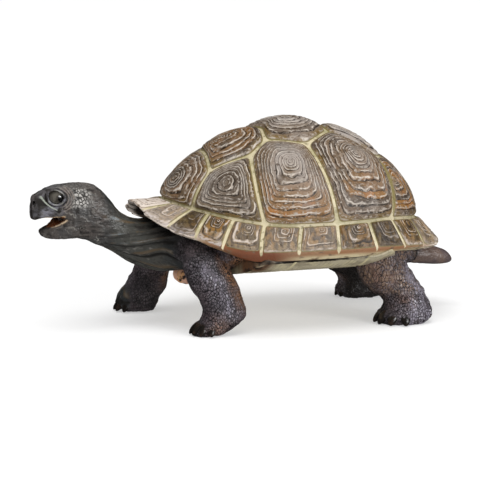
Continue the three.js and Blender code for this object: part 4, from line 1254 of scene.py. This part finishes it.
class TORTOISE_OT_shell(bpy.types.Operator):
    """Build the shell's body, whose cream surface shows in the seams between the scutes"""

    bl_idname = "tortoise.shell"
    bl_label = "Shell"

    def execute(self, context):
        first, rings, last, fields = shell_body()
        piece = add_closed("carapace_shell", first, rings, last, shell_paint(), fields)
        finish_piece(piece, "shell", "carapace")
        return {"FINISHED"}


class TORTOISE_OT_vertebrals(bpy.types.Operator):
    """Build the five scutes along the back"""

    bl_idname = "tortoise.vertebrals"
    bl_label = "Vertebral scutes"

    def execute(self, context):
        shell = context.scene.tortoise_shell
        material = bpy.data.materials.get("painted_vinyl_scutes") or scute_paint()
        for k, (name, areola, names, *look) in enumerate(VERTEBRALS):
            corners = corners_of(names, 1) + corners_of(names, -1)[::-1]
            look = plate_look(shell, *look, 100 + 10 * k, drop=14)
            scute_plate(name, areola, corners, COLUMNS.vertebral, dome_chart, look, material)
        return {"FINISHED"}


class TORTOISE_OT_costals(bpy.types.Operator):
    """Build the four large scutes on each flank"""

    bl_idname = "tortoise.costals"
    bl_label = "Costal scutes"

    def execute(self, context):
        shell = context.scene.tortoise_shell
        material = bpy.data.materials.get("painted_vinyl_scutes") or scute_paint()
        for side, sign in (("left", 1), ("right", -1)):
            for k, (name, (x, y), names, *look) in enumerate(COSTALS):
                look = plate_look(shell, *look, 200 + 10 * k + 50 * (sign < 0))
                corners = corners_of(names, sign)
                scute_plate(name.format(side), (sign * x, y), corners, COLUMNS.costal, dome_chart,
                            look, material)
        return {"FINISHED"}


class TORTOISE_OT_marginals(bpy.types.Operator):
    """Build the ring of small scutes along the shell's edge"""

    bl_idname = "tortoise.marginals"
    bl_label = "Marginal scutes"

    def execute(self, context):
        shell = context.scene.tortoise_shell
        material = marginal_paint()
        count = len(MARGINAL_SEAMS)
        names = [f"marginal_left_{k + 1}" for k in range(count - 1)] + ["supracaudal"]
        names += [f"marginal_right_{k}" for k in range(count - 1, 0, -1)] + ["nuchal"]
        for k, name in enumerate(names):
            self.build(name, k, shell, material)
        return {"FINISHED"}

    def build(self, name, k, shell, material):
        """One marginal: its chart is in millimetres, x along the rim and y down from the seam."""
        above, below = marginal_bounds(0)[k:k + 2], marginal_bounds(1)[k:k + 2]
        ends = on_ring(above, SEAM), on_ring(below, RIM)
        half_width = np.mean([np.linalg.norm(np.subtract(*end)) for end in ends]) / 2
        height = np.linalg.norm(ends[0].mean(0) - ends[1].mean(0))
        middle_angle = (below[0] + below[1]) / 2
        ahead = np.cos(middle_angle)
        turned = np.degrees(np.arccos(ahead))
        full = (1.05 - 0.1 * bell(turned, 62, 12)) * height

        def surface(chart):
            share = chart[..., 1] / height
            across = (chart[..., 0] / half_width + 1) / 2
            angle = mix(mix(above[0], below[0], share), mix(above[1], below[1], share), across)
            band = share[..., None]
            points = mix(on_ring(angle, SEAM), scalloped_rim(angle), np.minimum(band, 1))
            out = np.stack([np.sin(angle), -np.cos(angle), 0 * angle + 0.6], -1)
            past = np.clip(band - 1, 0, 1) * height
            return points - past * (0, 0, 0.8), unit(out)

        corners = [(-half_width, 0), (half_width, 0), (half_width, full), (-half_width, full)]
        areola = (0.15 * half_width, 0.2 * height)
        rust = 0.35 + 0.4 * lattice(np.array([k, 5, 9]), SEED)
        tone = 0.75 * smooth(ahead, 0.955, 1.0) + 0.3 * smooth(ahead, 0.8, 0.95)
        tone += 0.2 * smooth(-ahead, 0.7, 0.9)
        # Each bell lightens or darkens the marginals round one angle; the darkening round 36 degrees is
        # painted shade.
        for middle, width, change in ((36, 10, -0.5), (70, 9, 0.18), (88, 8, 0.15), (111, 13, -0.6)):
            tone += change * bell(turned, middle, width)
        look = plate_look(
            shell, 0.55, shell.marginal_rings, rust, rust, 0, tone, 400 + 7 * k,
            drop=height * mix(1.25, 0.95, smooth(ahead, 0.3, 0.75)), depth=0.8, banded=True)
        scute_plate(name, areola, corners, COLUMNS.marginal, surface, look, material, arc=False)


def plastron_body():
    """The plastron as rings along Y, from the throat to the tail. A ring's lower half follows a
    trough that turns up to the parting line, and its upper half lies a wall's thickness above.
    The half width is that of two rounded lobes, wider along the bridge."""
    size = PLASTRON
    columns = COLUMNS.plastron
    y = np.linspace(size.front, size.rear, 180)
    to_end = np.clip((y - size.front) / 10, 0, 1), np.clip((size.rear - y) / 12, 0, 1)
    lobe = mix(size.lobe_front, size.lobe_rear, smooth(y, -10, 20))
    lobe = lobe * (1 - (1 - to_end[0]) ** 2.2) ** 0.5 * (1 - (1 - to_end[1]) ** 2.2) ** 0.5 + 0.4
    bridge = smooth(y, size.bridge_front, size.bridge_front + 2 * size.corner) ** 0.6
    bridge = bridge * smooth(-y, -size.bridge_rear, -size.bridge_rear + 3 * size.corner) ** 0.6
    half_width = mix(lobe, size.half_width, bridge)[:, None]
    turn = around(columns)
    x = half_width * signed_power(np.cos(turn), 0.75)
    y = np.repeat(y, columns).reshape(x.shape)
    trough = size.floor + size.side_rise * (np.abs(x) / size.half_width) ** size.trough
    trough = trough + size.rear_rise * smooth(y, 20, 36) * (np.abs(x) / size.half_width) ** 2
    above = np.clip(np.sin(turn), 0, None)
    buttress = (1 - smooth(y, size.bridge_front + 7, size.bridge_front + 12)) * smooth(np.abs(x), 17, 26)
    lift = above**0.6 * (size.thickness + 7 * buttress)
    gap = np.min([np.abs(x), *[np.abs(y - at + 0.04 * np.abs(x)) for at in PLASTRON_SEAMS]], axis=0)
    under = np.sin(turn) < 0.05
    ring = gap / 1.7 + 0.2 * noise(np.stack([x, y, trough], -1), 4, 61)
    dent = under * (0.3 * bell(gap, 0, 0.5) - 0.12 * ring_relief(ring) * smooth(gap, 0.8, 2))
    rings = np.stack([x, y, trough + lift + dent], -1)
    # A dark line of painted shadow along the parting line beside the bridge.
    parting = smooth(np.abs(x) / half_width, 0.978, 0.988) * (np.abs(x) > 30)
    parting = parting * smooth(y, -27, -18) * (1 - smooth(y, 19, 25))
    # Rust-brown paint on the plastron's front sides, with painted shade in the pits behind the front legs.
    stain_and_shade = 0.95 * smooth(-y, 13, 25) * smooth(np.abs(x), 24, 33)
    fields = {
        "edge": with_poles(0, gap, 0),
        "ring": with_poles(0, ring, 0),
        "buttress": with_poles(0, np.maximum(buttress * above**0.6 * 1.4, stain_and_shade), 0),
        "parting": with_poles(0, parting, 0),
    }
    return rings[0].mean(0), rings, rings[-1].mean(0), fields


def ellipsoid(size, x=0, rows=28, columns=40):
    """Unit sphere directions with poles up and down, the ellipsoid's points on them, its faces."""
    polar = np.pi * (np.arange(1, rows) / rows)[:, None]
    turn = around(columns)
    flat = np.sin(polar) * np.cos(turn), np.sin(polar) * np.sin(turn)
    rings = np.stack([*flat, np.cos(polar) + 0 * turn], -1)
    sphere, *faces = closed_surface((0, 0, 1), rings, (0, 0, -1))
    half_sizes = (size.half_width, size.half_length, size.half_height)
    return sphere, (x, size.y, size.z) + sphere * half_sizes, faces


class TORTOISE_OT_plastron(bpy.types.Operator):
    """Build the belly plate, and the lump of its throat scutes"""

    bl_idname = "tortoise.plastron"
    bl_label = "Plastron"

    def execute(self, context):
        first, rings, last, fields = plastron_body()
        piece = add_closed("plastron_plate", first, rings, last, belly_paint(), fields)
        finish_piece(piece, "belly", "plastron")
        sphere, points, faces = ellipsoid(GULAR, rows=36, columns=60)
        furrow = 0.9 * bell(points[:, 0], 0, 0.7) * smooth(-sphere[:, 1], -0.3, 0.4)
        wrinkle = 0.18 * np.sin(points[:, 0] * 3.1 + noise(points, 2, 71)) + 0.15 * noise(points, 1.3, 72)
        points = points + sphere * (wrinkle - furrow)[:, None]
        lump = add_mesh("gular_scutes", points, *faces, gular_paint())
        finish_piece(lump, "belly")
        return {"FINISHED"}


class TORTOISE_OT_skin(bpy.types.Operator):
    """Build the one skin of head, neck, trunk, legs and tail, with its folds and scales"""

    bl_idname = "tortoise.skin"
    bl_label = "Skin"

    def execute(self, context):
        skin = context.scene.tortoise_skin
        jaw = loft(JAW, 60, 96, 3.4)
        across = np.abs(jaw[1][..., 0]) / np.abs(jaw[1][..., 0]).max(1, keepdims=True)
        middle = jaw[1][..., 2].mean(1, keepdims=True)
        dip = JAW_TROUGH * (1 - smooth(across, 0.2, 0.85)) * smooth(jaw[1][..., 1], -91, -87.5)
        jaw[1][..., 2] -= dip * (jaw[1][..., 2] > middle)
        parts = [
            loft(HEAD_AND_NECK, 170, 144, beak=-83.6), jaw, loft(TRUNK, 90, 96, 3),
            loft(TAIL, 50, 60, 2),
            *[leg(rows, side, stride) for _, rows, side, _, stride in LEGS],
        ]
        points, quads, triangles = fused(parts, skin.voxel / MM)
        points = relaxed(points, edges_of(quads, triangles), 4)
        points, fields = sculpt(points, quads, triangles, skin.scale_depth / MM)
        piece = add_mesh("skin", points, quads, triangles, skin_paint(), fields)
        finish_piece(piece, "skin", *FLESH_NODES)
        return {"FINISHED"}


class TORTOISE_OT_eyes(bpy.types.Operator):
    """Build the two glossy eyes"""

    bl_idname = "tortoise.eyes"
    bl_label = "Eyes"

    def execute(self, context):
        material = eye_paint()
        for side, sign in (("left", 1), ("right", -1)):
            _, points, faces = ellipsoid(EYE, sign * EYE.x, 40, 64)
            pupil = np.hypot(points[:, 1] - EYE.y - 1.5, (points[:, 2] - EYE.z + 0.2) * 0.85)
            pupil = np.where(points[:, 0] * sign > EYE.x, pupil, 9)
            rim = from_eye(points)[0]
            points[:, 0] += sign * EYE_TURN * (points[:, 1] - EYE.y)
            fields = {"pupil": pupil, "rim": rim}
            piece = add_mesh(f"eyeball_{side}", points, *faces, material, fields)
            finish_piece(piece, "eye", f"eye_{side}")
        return {"FINISHED"}


class TORTOISE_OT_mouth(bpy.types.Operator):
    """Build the tongue between the open jaws"""

    bl_idname = "tortoise.mouth"
    bl_label = "Tongue"

    def execute(self, context):
        size = TONGUE
        _, points, faces = ellipsoid(size)
        points[:, 2] += size.slope * (points[:, 1] - size.y) + 0.1 * noise(points, 0.9, 81)
        points[:, 2] -= 0.35 * bell(points[:, 0], 0, 0.5) * (points[:, 2] > size.z)
        piece = add_mesh("tongue_mound", points, *faces, mouth_paint())
        finish_piece(piece, "mouth", "tongue")
        return {"FINISHED"}


def claw_points(root, direction, claw):
    """A blunt horn: its radius falls as the root of one minus a power of the way along, and its
    axis leans down to the tip in a curve."""
    rows, columns = 22, 26
    along = np.linspace(0, 1, rows)[:, None]
    turn = around(columns)
    thickness = 1.12 * claw.radius * np.minimum(1, along * 5 + 0.3) * np.sqrt(np.clip(1 - along**3.2, 0, 1))
    side = np.array([-direction[1], direction[0]])
    reach = claw.length * along
    sideways = thickness * np.cos(turn) * (1 - 0.2 * along)
    z = mix(claw.height + 0.9, CLAW_TIP_HEIGHT, along**1.8) + 0.95 * thickness * np.sin(turn)
    x = root[0] + direction[0] * reach + side[0] * sideways
    y = root[1] + direction[1] * reach + side[1] * sideways
    rings = np.stack([x, y, np.maximum(z, 0.05)], -1)
    return rings[0].mean(0), rings[:-1], rings[-1].mean(0)


class TORTOISE_OT_claws(bpy.types.Operator):
    """Build the black claws of all four feet"""

    bl_idname = "tortoise.claws"
    bl_label = "Claws"

    def execute(self, context):
        material = claw_paint()
        for name, rows, side, claw, stride in LEGS:
            for k, (root, direction) in enumerate(zip(*claw_roots(rows, side, claw, stride)), 1):
                horn = claw_points(root, direction, claw)
                piece = add_closed(f"horn_{name}_{k}", *horn, material)
                finish_piece(piece, "claw", f"claw_{name}_{k}")
        return {"FINISHED"}


class TORTOISE_OT_stage(bpy.types.Operator):
    """Set up the floor, the soft studio light and the camera"""

    bl_idname = "tortoise.stage"
    bl_label = "Stage"

    def execute(self, context):
        stage = context.scene.tortoise_stage
        scene = context.scene
        self.floor()
        softbox, _, catch = [self.lamp(*lamp, stage.light) for lamp in LAMPS]
        softbox.visible_glossy = False
        catch.visible_diffuse = False  # it only gives the glossy eyes and claws their small lights
        world = bpy.data.worlds.new("studio")
        world.use_nodes = True
        world.node_tree.nodes["Background"].inputs["Color"].default_value = (1, 1, 1, 1)
        world.node_tree.nodes["Background"].inputs["Strength"].default_value = 0.5
        world.cycles_visibility.glossy = False
        scene.world = world
        scene.view_settings.view_transform = "Standard"
        self.camera(scene, stage)
        return {"FINISHED"}

    def floor(self):
        corners = [(FLOOR_REACH * x, FLOOR_REACH * y, 0) for x, y in ((-1, -1), (1, -1), (1, 1), (-1, 1))]
        mesh = bpy.data.meshes.new("floor")
        mesh.from_pydata(corners, [], [(0, 1, 2, 3)])
        mesh.materials.append(studio_floor())
        floor = bpy.data.objects.new("floor", mesh)
        floor.visible_glossy = False
        bpy.context.scene.collection.objects.link(floor)

    def lamp(self, kind, name, place, size, power, brightness):
        """A lamp aimed at the figurine."""
        light = bpy.data.lights.new(name, kind)
        light.energy = power * brightness
        if kind == "SUN":
            light.angle = size
        else:
            light.shape = "DISK"
            light.size = size
        lamp = bpy.data.objects.new(name, light)
        lamp.location = place
        aim = Vector(LAMP_AIM) - Vector(place)
        lamp.rotation_euler = aim.to_track_quat("-Z", "Y").to_euler()
        bpy.context.scene.collection.objects.link(lamp)
        return lamp

    def camera(self, scene, stage):
        """The camera looks at a point a little in front of the middle, low in its frame."""
        aim = Vector(CAMERA.aim)
        a, e = stage.azimuth, stage.elevation
        back = Vector((math.sin(a) * math.cos(e), -math.cos(a) * math.cos(e), math.sin(e)))
        lens = bpy.data.cameras.new("camera")
        lens.lens, lens.sensor_width, lens.clip_end = CAMERA.lens, CAMERA.sensor, CAMERA.clip
        camera = bpy.data.objects.new("camera", lens)
        camera.location = aim + back * stage.distance
        camera.rotation_euler = (-back).to_track_quat("-Z", "Y").to_euler()
        scene.collection.objects.link(camera)
        scene.camera = camera


OPERATORS = [
    TORTOISE_OT_shell, TORTOISE_OT_vertebrals, TORTOISE_OT_costals, TORTOISE_OT_marginals,
    TORTOISE_OT_plastron, TORTOISE_OT_skin, TORTOISE_OT_eyes, TORTOISE_OT_mouth,
    TORTOISE_OT_claws, TORTOISE_OT_stage,
]


class TORTOISE_PT_panel(bpy.types.Panel):
    """Lists the figurine's settings and the operators that build it"""

    bl_label = "Tortoise Figurine"
    bl_idname = "TORTOISE_PT_panel"
    bl_space_type = "VIEW_3D"
    bl_region_type = "UI"
    bl_category = "Tortoise"

    def draw(self, context):
        for group in SETTINGS:
            box = self.layout.box()
            settings = getattr(context.scene, group)
            for name in settings.__annotations__:
                box.prop(settings, name)
        for operator in OPERATORS:
            self.layout.operator(operator.bl_idname)


SETTINGS = {
    "tortoise_shell": TortoiseShellSettings,
    "tortoise_skin": TortoiseSkinSettings,
    "tortoise_stage": TortoiseStageSettings,
}


def register():
    for group in (*SETTINGS.values(), *OPERATORS, TORTOISE_PT_panel):
        bpy.utils.register_class(group)
    for name, group in SETTINGS.items():
        setattr(bpy.types.Scene, name, PointerProperty(type=group))


def unregister():
    for name in SETTINGS:
        delattr(bpy.types.Scene, name)
    for group in (TORTOISE_PT_panel, *reversed(OPERATORS), *SETTINGS.values()):
        bpy.utils.unregister_class(group)


def main():
    register()
    for operator in OPERATORS:
        group, name = operator.bl_idname.split(".")
        getattr(getattr(bpy.ops, group), name)()


if __name__ == "__main__":
    main()
